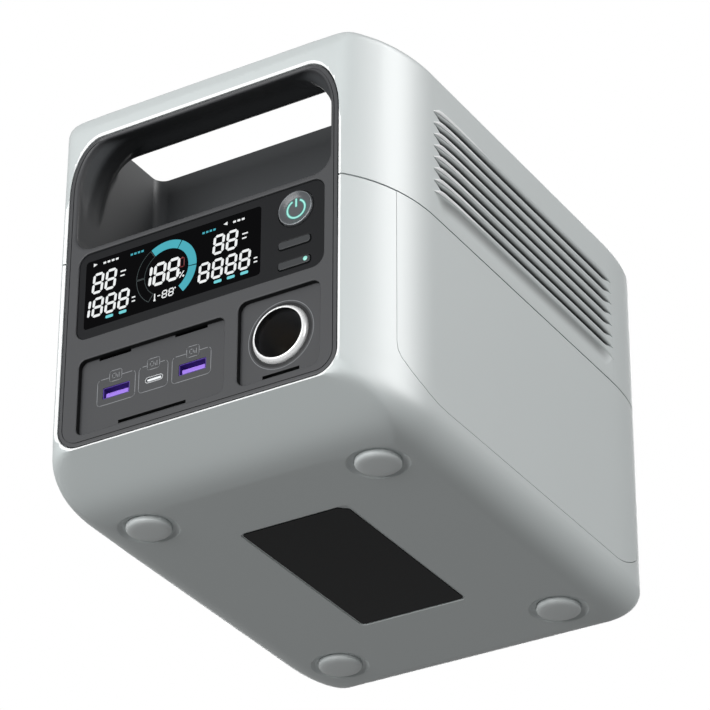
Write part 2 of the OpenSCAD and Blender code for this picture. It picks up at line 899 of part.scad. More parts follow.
module socket_contact() color("#c9a86a") {
    rod(socket_x, zb + socket_z, contact_r, contact_y, contact_y + contact_t);
    rod(socket_x, zb + socket_z, pin_r, contact_y, barrel_end + 1.3);
    rod(socket_x, zb + socket_z, pin_r + 1, barrel_end + 0.3, barrel_end + 1.3);
}

spring_r = 3;
spring_wire = 0.35;
spring_turns = 4;
spring_sides = 8;
spring_steps = 16;
spring_y0 = contact_y + contact_t + spring_wire;
spring_y1 = barrel_end - insulator_t - spring_wire;

// Point on the spring's surface at step i of the coil and place j round the wire
function spring_point(i, j) = let (
        turn = 360 * i / spring_steps,
        y = spring_y0 + (spring_y1 - spring_y0) * i / (spring_turns * spring_steps),
        around = 360 * j / spring_sides,
        r = spring_r + spring_wire * cos(around))
    [socket_x + r * cos(turn), y + spring_wire * sin(around), zb + socket_z + r * sin(turn)];

module socket_spring() color("#b8bcbf") {
    n = spring_turns * spring_steps;
    k = spring_sides;
    polyhedron(
        points = [for (i = [0:n]) for (j = [0:k - 1]) spring_point(i, j)],
        faces = concat(
            [for (i = [0:n - 1]) for (j = [0:k - 1])
                [i * k + j, i * k + (j + 1) % k, (i + 1) * k + (j + 1) % k, (i + 1) * k + j]],
            [[for (j = [k - 1:-1:0]) j]],
            [[for (j = [0:k - 1]) n * k + j]]));
}

// ---- battery pack ----

holder_t = 8;
cell_z = seat_z + 2;
cell_top = cell_z + cell_len;
pack_y = pack_y0 + pack_half;    // middle of the pack

module at_cells() {
    for (i = [0:cell_n - 1])
        for (j = [0:cell_n - 1])
            translate([(i - (cell_n - 1) / 2) * cell_pitch, pack_y + (j - (cell_n - 1) / 2) * cell_pitch, 0])
                children();
}

module battery_cells() color("#2f6fb5") {
    at_cells()
        translate([0, 0, cell_z])
            cylinder(h = cell_len, r = cell_d / 2);
}

module holder(z, t) {
    translate([-pack_half, pack_y0, z])
        cube([pack_len, pack_len, t]);
}

module boss_clearance() {
    at_feet()
        cylinder(h = zt, r = boss_r + 0.5);
}

module lower_cell_holder() color("#2a2c2e") {
    difference() {
        holder(seat_z, holder_t);
        boss_clearance();
        at_cells()
            translate([0, 0, cell_z])
                cylinder(h = holder_t, r = cell_d / 2 + slip);
    }
}

module upper_cell_holder() color("#2a2c2e") {
    difference() {
        holder(cell_top - holder_t + 2, holder_t);
        boss_clearance();
        at_cells()
            translate([0, 0, cell_top - holder_t])
                cylinder(h = holder_t + 3, r = cell_d / 2 + slip);
    }
}

strap_w = 8;
strap_t = 0.3;

module cell_straps() color("#c9ccce") {
    for (i = [0:cell_n - 1])
        for (j = [0:cell_n - 1])
            translate([(i - (cell_n - 1) / 2) * cell_pitch, pack_y + (j - (cell_n - 1) / 2) * cell_pitch, cell_top])
                cylinder(h = 2, r = strap_w / 2);
    for (j = [0:cell_n - 1])
        translate([-(cell_n - 1) / 2 * cell_pitch - strap_w / 2,
            pack_y + (j - (cell_n - 1) / 2) * cell_pitch - strap_w / 2, cell_top + 2])
            cube([(cell_n - 1) * cell_pitch + strap_w, strap_w, strap_t]);
}

bms_z = cell_top + 2 + strap_t;
module battery_board() color("#1d4f7a") {
    translate([-pack_half + 6, pack_y - 30, bms_z])
        cube([pack_len - 12, 60, board_t]);
}

// ---- electronics on the mid frame ----

mid_t = 2.4;
mid_half = hw - wall - 2.4;
mid_y0 = fy + pocket_d + liner_t + 10;
mid_y1 = ry - wall - 8;
mid_top = frame_z + mid_t;
standoff = 5;
pcb_z = mid_top + standoff;
pcb_x0 = -mid_half + fan_t + 4;
pcb_x1 = mid_half - 4;
pcb_y0 = mid_y0 - 5;
pcb_y1 = ry - foot_rear - boss_r - 2;
standoff_r = 3;
lead_x = pack_half - 10;
lead_y = [pack_y - 6, pack_y + 6];
fan_y = fy + louvre_front + (body_d - louvre_front - louvre_rear) / 2;
fan_z = zb + louvre_z + (louvre_n - 1) / 2 * louvre_pitch;
fan_x0 = -hw + wall + fit_gap;   // outer face of the fan
fan_x1 = fan_x0 + fan_t;
bracket_t = 2;
duct_r = fan_w / 2 - 1.6;
fan_screw_in = 25 * fan_w / 60;

module at_board_corners() {
    for (x = [pcb_x0 + 5, pcb_x1 - 5])
        for (y = [mid_y0 + 5, pcb_y1 - 5])
            translate([x, y, 0])
                children();
}

// Cylinder along X
module axle(x0, x1, r) {
    translate([x0, fan_y, fan_z])
        rotate([0, 90, 0])
            cylinder(h = x1 - x0, r = r);
}

module at_fan_screws() {
    for (dy = [-fan_screw_in, fan_screw_in])
        for (dz = [-fan_screw_in, fan_screw_in])
            translate([0, dy, dz])
                children();
}

module mid_frame() color("#303335") {
    difference() {
        union() {
            translate([-mid_half, mid_y0, frame_z])
                cube([2 * mid_half, mid_y1 - mid_y0, mid_t]);
            at_board_corners()
                translate([0, 0, mid_top - slip])
                    cylinder(h = standoff + slip, r = standoff_r);
            translate([fan_x1, fan_y - fan_w / 2, mid_top - slip])
                cube([bracket_t, fan_w, fan_z + fan_w / 2 - mid_top]);
        }
        at_board_corners()
            translate([0, 0, frame_z - cut])
                cylinder(h = mid_t + standoff + 2 * cut, r = pilot_r);
        for (x = [-foot_x, foot_x])
            translate([x, foot_y[1], frame_z - cut])
                cylinder(h = mid_t + 2 * cut, r = boss_r + 0.5);
        axle(fan_x1 - cut, fan_x1 + bracket_t + cut, duct_r);
        at_fan_screws()
            axle(fan_x1 - cut, fan_x1 + bracket_t + cut, clear_r);
        for (y = lead_y)
            translate([lead_x, y, frame_z - cut])
                cylinder(h = mid_t + 2 * cut, r = 2.6);
    }
}

module power_board() color("#1f5a3a") {
    difference() {
        translate([pcb_x0, pcb_y0, pcb_z])
            cube([pcb_x1 - pcb_x0, pcb_y1 - pcb_y0, board_t]);
        at_board_corners()
            translate([0, 0, pcb_z - cut])
                cylinder(h = board_t + 2 * cut, r = clear_r);
    }
}

parts_z = pcb_z + board_t;
cap_r = 8;
cap_h = 32;

module capacitors() color("#22252b") {
    for (i = [0:3])
        translate([pcb_x1 - 14, pcb_y0 + 26 + i * 20, parts_z])
            cylinder(h = cap_h, r = cap_r);
}

module inductors() color("#b0662c") {
    for (i = [0:2])
        translate([pcb_x1 - 42, pcb_y0 + 30 + i * 30, parts_z + 6])
            rotate_extrude()
                translate([8, 0])
                    circle(6);
}

sink_w = 46;
sink_l = 80;
sink_h = 34;
fin_n = 10;
fin_t = 1.4;

module heat_sink() color("#8d9296") {
    x0 = pcb_x0 + 8;
    y0 = pcb_y0 + 22;
    translate([x0, y0, parts_z])
        cube([sink_w, sink_l, 4]);
    for (i = [0:fin_n - 1])
        translate([x0 + i * (sink_w - fin_t) / (fin_n - 1), y0, parts_z])
            cube([fin_t, sink_l, sink_h]);
}

// ---- fan ----

hub_r = 12;
blade_n = 7;
shaft_r = 1.2;
rotor_x0 = fan_x0 + 1.2;
rotor_x1 = fan_x1 - 3;

module fan_frame() color("#1c1e20") {
    difference() {
        union() {
            difference() {
                translate([fan_x0, fan_y - fan_w / 2, fan_z - fan_w / 2])
                    cube([fan_t, fan_w, fan_w]);
                axle(fan_x0 - cut, fan_x1 + cut, duct_r);
            }
            axle(fan_x1 - 2, fan_x1, hub_r);
            for (turn = [45, 135])
                translate([fan_x1 - 2, fan_y, fan_z])
                    rotate([turn, 0, 0])
                        translate([0, -duct_r - 1, -1.5])
                            cube([2, 2 * duct_r + 2, 3]);
        }
        axle(fan_x1 - 2 - cut, fan_x1 + cut, shaft_r + 0.05);
        at_fan_screws()
            axle(fan_x0 - cut, fan_x1 + cut, screw_r + fit_gap);
    }
}

module fan_rotor() color("#2c2f32") {
    axle(rotor_x0, rotor_x1, hub_r - 0.5);
    axle(rotor_x1 - cut, fan_x1 - 0.2, shaft_r);
    tip = duct_r - fan_gap;
    intersection() {
        axle(rotor_x0, rotor_x1, tip);
        for (i = [0:blade_n - 1])
            translate([(rotor_x0 + rotor_x1) / 2, fan_y, fan_z])
                rotate([i * 360 / blade_n, 0, 0])
                    rotate([0, 0, 0])
                        translate([0, 0, (hub_r + tip) / 2])
                            rotate([0, 0, 52])
                                cube([20, 1.4, tip - hub_r + 4], center = true);
    }
}

module fan_screws() color("#9a9da0") {
    at_fan_screws() {
        axle(fan_x0 + 2, fan_x1 + bracket_t, screw_r);
        axle(fan_x1 + bracket_t, fan_x1 + bracket_t + head_t, head_r);
    }
}

// ---- charging jack in the rear wall ----

jack_len = 16;
jack_in = 2.2;
module charge_jack() color("#1a1b1d") {
    difference() {
        union() {
            rod(jack_x, jack_z, jack_flange_r, ry - jack_in, ry - jack_in + 1.5);
            rod(jack_x, jack_z, jack_r, ry - jack_in - jack_len, ry - jack_in + slip);
        }
        rod(jack_x, jack_z, 4, ry - jack_in - 10, ry + cut);
    }
    rod(jack_x, jack_z, 0.8, ry - jack_in - 10 - slip, ry - jack_in - 1);
}

module charge_jack_nut() color("#b8bcbf") {
    difference() {
        rod(jack_x, jack_z, 8.5, ry - wall - jack_pad - 3, ry - wall - jack_pad);
        rod(jack_x, jack_z, jack_r + slip, ry - wall - jack_pad - 3 - cut, ry);
    }
}

// ---- wiring ----

module battery_leads() color("#a02424") {
    for (y = lead_y)
        translate([lead_x, y, bms_z + board_t])
            cylinder(h = pcb_z - bms_z - board_t, r = 1.6);
}

ribbon_w = 14;
ribbon_t = 0.5;
ribbon_z = zp - 9;
ribbon_y0 = board_y + board_t;
ribbon_y1 = pcb_y0 + 2;
module display_ribbon() color("#d0d2d4") {
    z0 = zb + bezel_z + 6;
    translate([-ribbon_w / 2, 0, 0])
        rotate([90, 0, 90])
            linear_extrude(ribbon_w)
                polygon([[ribbon_y0, z0], [ribbon_y0 + ribbon_t, z0], [ribbon_y0 + ribbon_t, ribbon_z],
                    [ribbon_y1 + ribbon_t, ribbon_z], [ribbon_y1 + ribbon_t, pcb_z], [ribbon_y1, pcb_z],
                    [ribbon_y1, ribbon_z + ribbon_t], [ribbon_y0, ribbon_z + ribbon_t]]);
}

// ---- fasteners ----

module screw_up(z, len, r) {
    translate([0, 0, z - head_t])
        cylinder(h = head_t, r = head_r);
    translate([0, 0, z - slip])
        cylinder(h = len, r = r);
}

module housing_screws() color("#8f9294") {
    for (x = [-foot_x, foot_x])
        for (i = [0, 1])
            translate([x, foot_y[i], 0])
                screw_up((i == 0 ? front_boss_top : zp - seam / 2) - screw_seat, screw_len, pilot_r - slip);
}

module board_screws() color("#8f9294") {
    at_board_corners() {
        translate([0, 0, parts_z])
            cylinder(h = head_t, r = head_r);
        translate([0, 0, parts_z - 6])
            cylinder(h = 6 + slip, r = pilot_r - slip);
    }
}

module bezel_screws() color("#8f9294") {
    for (p = bezel_posts) {
        rod(p[0], zb + p[1], 1.5, board_y + board_t, board_y + board_t + 1);
        rod(p[0], zb + p[1], thread_r - slip, board_y - 4, board_y + board_t + slip);
    }
}

// ---- base ----

label_y = fy + 120;
label_in = 0.4;
module label_plate() color("#0c0d0e") {
    translate([-label_w / 2 + 0.2, label_y - label_l / 2 + 0.2, zb + 0.15])
        cube([label_w - 0.4, label_l - 0.4, label_in - 0.15]);
}

module feet() color("#9a9da0") {
    at_feet() {
        cylinder(h = zb + foot_recess, r = foot_d / 2 - 1);
        translate([0, 0, 0.6])
            cylinder(h = zb + foot_recess - 0.6, r = foot_d / 2);
    }
}

top_shell();
lower_shell();
side_panel_left();
side_panel_right();
front_panel();
handle_liner();
display_bezel();
display_window();
display_module();
control_board();
tact_switches();
power_button();
power_symbol();
upper_button();
lower_button();
lower_button_light();
usb_plate();
socket_plate();
usb_a_shells();
usb_a_tongues();
usb_c_shell();
usb_c_tongue();
usb_board();
socket_ring();
socket_barrel();
socket_nut();
socket_insulator();
socket_contact();
socket_spring();
battery_cells();
lower_cell_holder();
upper_cell_holder();
cell_straps();
battery_board();
mid_frame();
power_board();
capacitors();
inductors();
heat_sink();
fan_frame();
fan_rotor();
fan_screws();
charge_jack();
charge_jack_nut();
battery_leads();
display_ribbon();
housing_screws();
board_screws();
bezel_screws();
feet();
label_plate();
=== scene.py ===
"""Visible model of a portable power station: housing, carry opening, front panel, sockets and stage"""

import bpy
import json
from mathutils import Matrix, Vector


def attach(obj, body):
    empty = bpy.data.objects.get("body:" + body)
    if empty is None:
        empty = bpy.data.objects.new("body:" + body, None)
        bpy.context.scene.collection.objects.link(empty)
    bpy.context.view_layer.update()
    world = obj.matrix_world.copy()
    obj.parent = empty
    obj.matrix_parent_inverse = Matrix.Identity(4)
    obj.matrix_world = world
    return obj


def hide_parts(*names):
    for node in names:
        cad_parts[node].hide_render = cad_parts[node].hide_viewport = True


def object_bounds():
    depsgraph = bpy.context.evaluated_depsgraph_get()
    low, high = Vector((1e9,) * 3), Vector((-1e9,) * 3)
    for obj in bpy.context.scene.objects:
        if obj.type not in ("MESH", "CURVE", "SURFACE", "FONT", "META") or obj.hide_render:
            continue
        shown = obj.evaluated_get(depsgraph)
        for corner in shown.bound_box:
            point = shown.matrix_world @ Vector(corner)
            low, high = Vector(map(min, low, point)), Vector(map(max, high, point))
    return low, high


bl_info = {
    "name": "Portable Power Station",
    "version": (1, 0, 0),
    "blender": (4, 5, 0),
    "location": "View3D > Sidebar > Power Station",
    "description": "Builds the visible surfaces of a portable power station",
    "category": "Add Mesh",
}

import json
import math
from types import SimpleNamespace

import bmesh
import bpy
from bpy.props import FloatProperty, FloatVectorProperty, PointerProperty
from bpy.types import Operator, Panel, PropertyGroup
from mathutils import Matrix, Vector

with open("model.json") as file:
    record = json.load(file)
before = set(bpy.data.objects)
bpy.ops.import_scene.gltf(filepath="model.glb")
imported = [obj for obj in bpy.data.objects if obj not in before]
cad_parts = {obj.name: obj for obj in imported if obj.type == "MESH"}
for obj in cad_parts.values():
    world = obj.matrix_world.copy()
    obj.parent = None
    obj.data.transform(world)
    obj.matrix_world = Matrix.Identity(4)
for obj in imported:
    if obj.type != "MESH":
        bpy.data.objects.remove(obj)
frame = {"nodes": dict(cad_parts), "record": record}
CAD_LOW, CAD_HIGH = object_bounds()

# Sizes below are in millimetres. x runs to the right, y to the rear, and z up from the feet's undersides
MM = 0.001
FRONT = CAD_LOW.y / MM
REAR = CAD_HIGH.y / MM
BASE = 1.6  # the base plane stands this far above the feet's undersides
HALF = CAD_HIGH.x / MM  # half the housing's width
TALL = CAD_HIGH.z / MM - BASE  # the housing's height above the base plane
HOUSING = "housing"  # the body that everything fixed rides on


# ---------------------------------------------------------------- sizes and colours


def linear(code):
    """Linear colour of an sRGB hex value. A colour that is linear already passes through"""
    if not isinstance(code, str):
        return [*code, 1.0]
    values = [int(code[i : i + 2], 16) / 255 for i in (1, 3, 5)]
    return [v / 12.92 if v <= 0.04045 else ((v + 0.055) / 1.055) ** 2.4 for v in values] + [1.0]


def millimetres(name, description, default):
    """A length that a user may change, given here in millimetres"""
    return FloatProperty(
        name=name, description=description, default=default * MM, min=0.0, unit="LENGTH", precision=4
    )


def hex_colour(name, description, default):
    """A colour that a user may change, given here as an sRGB hex value"""
    return FloatVectorProperty(
        name=name,
        description=description,
        default=linear(default)[:3],
        min=0.0,
        max=1.0,
        size=3,
        subtype="COLOR",
    )


class HousingSizes(PropertyGroup):
    """Sizes of the housing and its carry opening"""

    part_height: millimetres("Joint height", "Height of the joint between the shells", 101.2)
    base_fillet: millimetres("Base fillet", "Radius between the sides and the base", 15.0)
    top_fillet: millimetres("Top fillet", "Radius between the sides and the top", 5.0)
    slope_height: millimetres("Slope height", "Height at which the front starts to slope back", 13.1)
    slope_run: millimetres("Slope run", "How far that slope runs back", 30.0)
    slope_blend: millimetres("Slope blend", "Half length of the soft change from slope to base", 9.0)
    facet_height: millimetres("Facet height", "Height of the leaning facet above the grip", 7.6)
    facet_run: millimetres("Facet run", "How far the facet leans back", 3.4)
    wall: millimetres("Wall", "Wall thickness of the shells", 3.0)
    seam: millimetres("Seam", "Gap between the shells", 0.6)
    grip_width: millimetres("Opening width", "Width of the carry opening", 120.4)
    grip_height: millimetres("Opening height", "Height of the opening's lower lip", 105.6)
    bar_height: millimetres("Bar height", "Height of the grip bar's underside", 160.4)
    bar_depth: millimetres("Bar depth", "Depth of the grip bar", 28.0)
    pocket_depth: millimetres("Pocket depth", "Front plane to the opening's rear wall", 58.0)


class PanelSizes(PropertyGroup):
    """Sizes of the front panel and what it holds"""

    width: millimetres("Panel width", "Width of the front panel", 128.6)
    bottom: millimetres("Panel bottom", "Height of the panel's lower edge", 14.0)
    top: millimetres("Panel top", "Height of the panel's upper edge", 158.6)
    set_back: millimetres("Set-back", "How far the panel sits behind the front plane", 0.4)
    bezel_width: millimetres("Bezel width", "Width of the display bezel", 115.4)
    bezel_bottom: millimetres("Bezel bottom", "Height of the bezel's lower edge", 62.9)
    bezel_height: millimetres("Bezel height", "Height of the bezel itself", 39.8)
    bezel_set: millimetres("Bezel set-back", "How far the bezel sits behind the front plane", 1.0)


class Finishes(PropertyGroup):
    """Colours of the visible mouldings and lights"""

    shell: hex_colour("Shell", "Light grey housing", "#C3C9C9")
    panel: hex_colour("Panel", "Dark grey front panel", "#3C3D3F")
    liner: hex_colour("Liner", "Dark grey carry opening", "#3B3D3F")
    bezel: hex_colour("Bezel", "Near-black display bezel", "#161719")
    teal: hex_colour("Teal", "Lit gauge on the display", "#18A6B6")
    mint: hex_colour("Mint", "Lit power symbol and lamp", "#9FF0E2")
    tongue: hex_colour("Tongue", "Moulding in the fast USB ports", "#4C3090")


def user_names(group):
    """Names of a group's own properties"""
    return [name for name in group.bl_rna.properties.keys() if name not in {"rna_type", "name"}]


def in_millimetres(group):
    """A group's lengths as plain numbers in millimetres"""
    return SimpleNamespace(**{name: round(getattr(group, name) / MM, 4) for name in user_names(group)})


def housing():
    """Sizes of the housing, in millimetres"""
    return in_millimetres(bpy.context.scene.station_housing)


def panel():
    """Sizes of the front panel, in millimetres"""
    return in_millimetres(bpy.context.scene.station_panel)


def finishes():
    """Colours of the mouldings and lights"""
    return bpy.context.scene.station_finishes


# ---------------------------------------------------------------- places on the object, in millimetres

# Heights count from the base plane, and depths from the front plane. A box is (left, right, low, high)
CORNER_A, CORNER_B = 39.25, 56.25  # front corners in plan: half widths of their ellipse, across and along
CORNER_RUN = 45.0  # depth of that ellipse's middle
REAR_A, REAR_B = 8.0, 33.0  # rear corners in plan: half widths across and along
# side panels: the depths of their two ends, and the height of their bottom
SIDE_PANEL = (21.8, 219.4, 16.5)
PANEL_R = 10.0  # front panel: radius of the lower corners
PANEL_RX, PANEL_RZ = 15.0, 25.0  # front panel: half widths of the upper corners' ellipse
RIM = 1.25  # width of the rim round the front panel, painted pale as a highlight
PLATE_BACK = 2.9  # depth of the socket plates' faces
POCKET_R = 5.0  # radius of the upright corners at the rear of the carry opening
USB_OPENING = (-55.5, 13.0, 19.3, 53.2)  # opening in the front panel before the three ports
SOCKET_OPENING = (19.2, 56.3, 19.3, 56.7)  # the same before the round socket
USB_Z = 36.5  # height of the three ports' middles
USB_A_X = (-38.7, -3.0)  # middles of the two wide ports
USB_C_X = -20.9  # middle of the narrow port
SOCKET = (37.5, 38.4)  # middle of the round socket
POWER = (44.6, 92.4)  # middle of the power button
PILL_X, PILL_W, PILL_H = 44.3, 14.4, 3.3  # flat buttons: middle, width and height
UPPER_Z, LOWER_Z = 76.9, 67.6  # heights of the flat buttons' middles
LAMP_X, LAMP_Z = 49.4, 67.9  # lamp in the lower flat button
WINDOW = (-54.5, 28.7, 67.4, 99.0)  # display window
LOUVRES = 8  # blades on a side
LOUVRE_LOW, LOUVRE_PITCH = 116.0, 5.5  # height of the lowest blade's ridge, and the step to the next
LOUVRE_FRONT, LOUVRE_REAR = 45.0, 199.0  # depths of the blades' ends
FOOT_X, FOOT_Y = 53.1, (49.4, 195.9)  # feet: distance from the middle, and depths
LABEL = (-24.6, 24.6, 72.8, 167.2)  # seat in the base: left, right, and the depths of its two ends


# ---------------------------------------------------------------- outlines, in millimetres


def blend(edge0, edge1, value):
    """Smooth step from 0 to 1"""
    t = min(1.0, max(0.0, (value - edge0) / (edge1 - edge0)))
    return t * t * (3.0 - 2.0 * t)


def spread(start, end, count):
    """Evenly spaced values between two ends, without the ends"""
    return [start + (end - start) * i / (count + 1) for i in range(1, count + 1)]


def plan(inset, front, arc=24, rear=12):
    """Plan outline at one height, inset from the widest one and cut straight at the front"""
    a, b = max(0.5, CORNER_A - inset), max(0.5, CORNER_B - inset)
    cx, cy = HALF - inset - a, FRONT + CORNER_RUN
    start = math.asin(min(1.0, max(-1.0, (cy - front) / b)))
    side = []
    for i in range(arc + 1):
        t = start * (1 - i / arc)
        side.append((cx + a * math.cos(t), cy - b * math.sin(t)))
    ra, rb = REAR_A + 0.35 * inset, REAR_B - 0.5 * inset
    edge, back = HALF - inset, REAR - inset
    side += [(edge, y) for y in spread(side[-1][1], back - rb, 12)]
    for i in range(rear + 1):
        t = math.radians(90 * i / rear)
        side.append((edge - ra + ra * math.cos(t), back - rb + rb * math.sin(t)))
    half_back = side[-1][0]
    back_row = [(x, back) for x in spread(half_back, -half_back, 9)]
    half_front = side[0][0]
    front_row = [(x, front) for x in spread(-half_front, half_front, 43)]
    mirrored = [(-x, y) for x, y in reversed(side)]
    return side + back_row + mirrored + front_row


def side_inset(z, tall, low_r, top_r):
    """How far the round lower and upper edges draw the sides in at a height"""
    if z < low_r:
        return low_r - math.sqrt(max(0.0, low_r**2 - (low_r - z) ** 2))
    if z > tall - top_r:
        return top_r - math.sqrt(max(0.0, top_r**2 - (z - tall + top_r) ** 2))
    return 0.0


def front_set(z, tall):
    """How far the front lies behind the front plane at a height"""
    h = housing()
    pitch = h.slope_height / h.slope_run
    reach = h.slope_run + h.slope_blend
    if z < pitch * h.slope_blend:
        slope = reach - math.sqrt(4 * h.slope_blend * z / pitch)
    else:
        slope = max(0.0, h.slope_run - z / pitch)
    facet = h.facet_run * max(0.0, 1 - (tall - z) / h.facet_height)
    lip = 1.6  # radius between the facet and the top
    if z > tall - lip:
        facet += lip - math.sqrt(max(0.0, lip**2 - (z - tall + lip) ** 2))
    return slope + facet


def arch(width, bottom, top, r, rx, rz, grow=0.0, limit=None, steps=10):
    """Outline with round lower and elliptical upper corners, grown outwards and kept inside a limit"""
    half = width / 2
    points = []
    for i in range(steps + 1):
        t = math.radians(-90 + 90 * i / steps)
        points.append((half - r + (r + grow) * math.cos(t), bottom + r + (r + grow) * math.sin(t)))
    for z in spread(bottom + r, top - rz, 5):
        points.append((half + grow, z))
    for i in range(steps + 1):
        t = math.radians(90 * i / steps)
        nx, nz = math.cos(t) / max(rx, 0.01), math.sin(t) / max(rz, 0.01)
        size = math.hypot(nx, nz)
        x = half - rx + rx * math.cos(t) + grow * nx / size
        z = top - rz + rz * math.sin(t) + grow * nz / size
        points.append((x, z))
    if limit is not None:
        points = [(min(x, limit), z) for x, z in points]
    return points + [(-x, z) for x, z in reversed(points)]


def rounded(x0, x1, z0, z1, r, steps=6):
    """Rectangle with round corners"""
    r = min(r, (x1 - x0) / 2 - 0.001, (z1 - z0) / 2 - 0.001)
    points = []
    corners = ((x1 - r, z0 + r, -90), (x1 - r, z1 - r, 0), (x0 + r, z1 - r, 90), (x0 + r, z0 + r, 180))
    for cx, cz, start in corners:
        for i in range(steps + 1):
            t = math.radians(start + 90 * i / steps)
            points.append((cx + r * math.cos(t), cz + r * math.sin(t)))
    return points


def eased(outline, face, width, back, depth=None):
    """Cutter through a front face that leaves a rounded edge; outline(grow) gives the opening"""
    depth = depth or width
    sections = [(face - 3, width)]
    for i in range(6):
        t = math.radians(90 * i / 5)
        sections.append((face + depth * (1 - math.cos(t)), width * (1 - math.sin(t))))
    sections.append((back, 0.0))
    return loft([[(x, FRONT + y, BASE + z) for x, z in outline(grow)] for y, grow in sections])


def grown_rounded(x0, x1, z0, z1, r):
    """Rectangle with round corners, as a function of how far it is grown"""
    return lambda grow: rounded(x0 - grow, x1 + grow, z0 - grow, z1 + grow, r + grow)


def circle(cx, cz, r, steps=64):
    """Circle in front view"""
    angles = [2 * math.pi * i / steps for i in range(steps)]
    return [(cx + r * math.cos(a), cz + r * math.sin(a)) for a in angles]


# ---------------------------------------------------------------- making meshes

MERGE = 1e-4  # points closer than this become one


def loft(sections):
    """Skin over closed sections of equal length: each is extruded to the next, and both ends are closed"""
    bm = bmesh.new()
    verts = [bm.verts.new(p) for p in sections[0]]
    first = verts
    edges = [bm.edges.new((a, b)) for a, b in zip(verts, verts[1:] + verts[:1])]
    for section in sections[1:]:
        made = bmesh.ops.extrude_edge_only(bm, edges=edges)["geom"]
        fresh = {v for v in made if isinstance(v, bmesh.types.BMVert)}
        verts = [next(o for o in (e.other_vert(v) for e in v.link_edges) if o in fresh) for v in verts]
        edges = [e for e in made if isinstance(e, bmesh.types.BMEdge) and set(e.verts) <= fresh]
        for vert, place in zip(verts, section):
            vert.co = place
    bm.faces.new(first)
    bm.faces.new(verts)
    bmesh.ops.recalc_face_normals(bm, faces=bm.faces)
    return bm


def slab(points, start, end):
    """Prism from a front-view outline, between two depths behind the front plane"""
    return slab_between([(x, FRONT + start, BASE + z) for x, z in points], (0, end - start, 0))


def slab_between(corners, step):
    """Prism from the corners of a flat face, extruded by a step"""
    bm = bmesh.new()
    face = bm.faces.new([bm.verts.new(p) for p in corners])
    grown = bmesh.ops.extrude_face_region(bm, geom=[face])["geom"]
    bmesh.ops.translate(bm, verts=[v for v in grown if isinstance(v, bmesh.types.BMVert)], vec=step)
    bmesh.ops.recalc_face_normals(bm, faces=bm.faces)
    return bm


def box(x0, x1, y0, y1, z0, z1):
    """Block between two corners"""
    bm = bmesh.new()
    bmesh.ops.create_cube(bm, size=1.0)
    bmesh.ops.scale(bm, vec=(x1 - x0, y1 - y0, z1 - z0), verts=bm.verts)
    bmesh.ops.translate(bm, vec=((x0 + x1) / 2, (y0 + y1) / 2, (z0 + z1) / 2), verts=bm.verts)
    return bm


def lathe(profile, centre, axis="Y", steps=96):
    """Turned piece from (radius, along) points: a closed loop, or one that starts and ends on the axis"""
    bm = bmesh.new()
    verts = [bm.verts.new((r, 0.0, along)) for r, along in profile]
    edges = [bm.edges.new(pair) for pair in zip(verts, verts[1:])]
    if profile[0][0] > 1e-6:
        edges.append(bm.edges.new((verts[-1], verts[0])))
    bmesh.ops.spin(
        bm,
        geom=verts + edges,
        cent=(0, 0, 0),
        axis=(0, 0, 1),
        angle=2 * math.pi,
        steps=steps,
        use_merge=True,
        use_duplicate=False,
    )
    bmesh.ops.remove_doubles(bm, verts=bm.verts, dist=MERGE)
    turn = {"Y": Matrix.Rotation(math.radians(-90), 3, "X"), "Z": Matrix.Identity(3)}
    bmesh.ops.rotate(bm, verts=bm.verts, cent=(0, 0, 0), matrix=turn[axis])
    bmesh.ops.translate(bm, verts=bm.verts, vec=centre)
    bmesh.ops.recalc_face_normals(bm, faces=bm.faces)
    return bm


def join(*parts):
    """Several meshes as one"""
    whole = bmesh.new()
    for part in parts:
        mesh = bpy.data.meshes.new("joining")
        part.to_mesh(mesh)
        part.free()
        whole.from_mesh(mesh)
        bpy.data.meshes.remove(mesh)
    return whole


def carve(bm, cutters, operation="DIFFERENCE"):
    """Cuts one mesh with others, and gives the result back as a new mesh"""
    scene = bpy.context.scene
    made = []
    for part in [bm, *cutters]:
        mesh = bpy.data.meshes.new("carving")
        part.to_mesh(mesh)
        part.free()
        piece = bpy.data.objects.new("carving", mesh)
        scene.collection.objects.link(piece)
        made.append(piece)
    for cutter in made[1:]:
        step = made[0].modifiers.new("cut", "BOOLEAN")
        step.operation, step.solver, step.object = operation, "EXACT", cutter
    bpy.context.view_layer.update()
    shape = made[0].evaluated_get(bpy.context.evaluated_depsgraph_get())
    mesh = bpy.data.meshes.new_from_object(shape)
    result = bmesh.new()
    result.from_mesh(mesh)
    bpy.data.meshes.remove(mesh)
    for piece in made:
        mesh = piece.data
        bpy.data.objects.remove(piece)
        bpy.data.meshes.remove(mesh)
    bmesh.ops.remove_doubles(result, verts=result.verts, dist=MERGE)
    bmesh.ops.dissolve_degenerate(result, edges=result.edges, dist=MERGE)
    return result


def round_edges(bm, width, segments, chosen, angle=35.0):
    """Bevels the sharp edges that a test picks"""
    bm.normal_update()
    limit = math.radians(angle)
    edges = [e for e in bm.edges if len(e.link_faces) == 2 and e.calc_face_angle(0.0) > limit and chosen(e)]
    bmesh.ops.bevel(
        bm,
        geom=edges,
        offset=width,
        offset_type="OFFSET",
        segments=segments,
        profile=0.5,
        affect="EDGES",
        clamp_overlap=True,
        material=-1,
    )
    return bm


def middle(edge):
    """Middle point of an edge"""
    return (edge.verts[0].co + edge.verts[1].co) / 2


def near_front(edge, depth):
    """Whether an edge lies in front of a depth"""
    return middle(edge).y < FRONT + depth


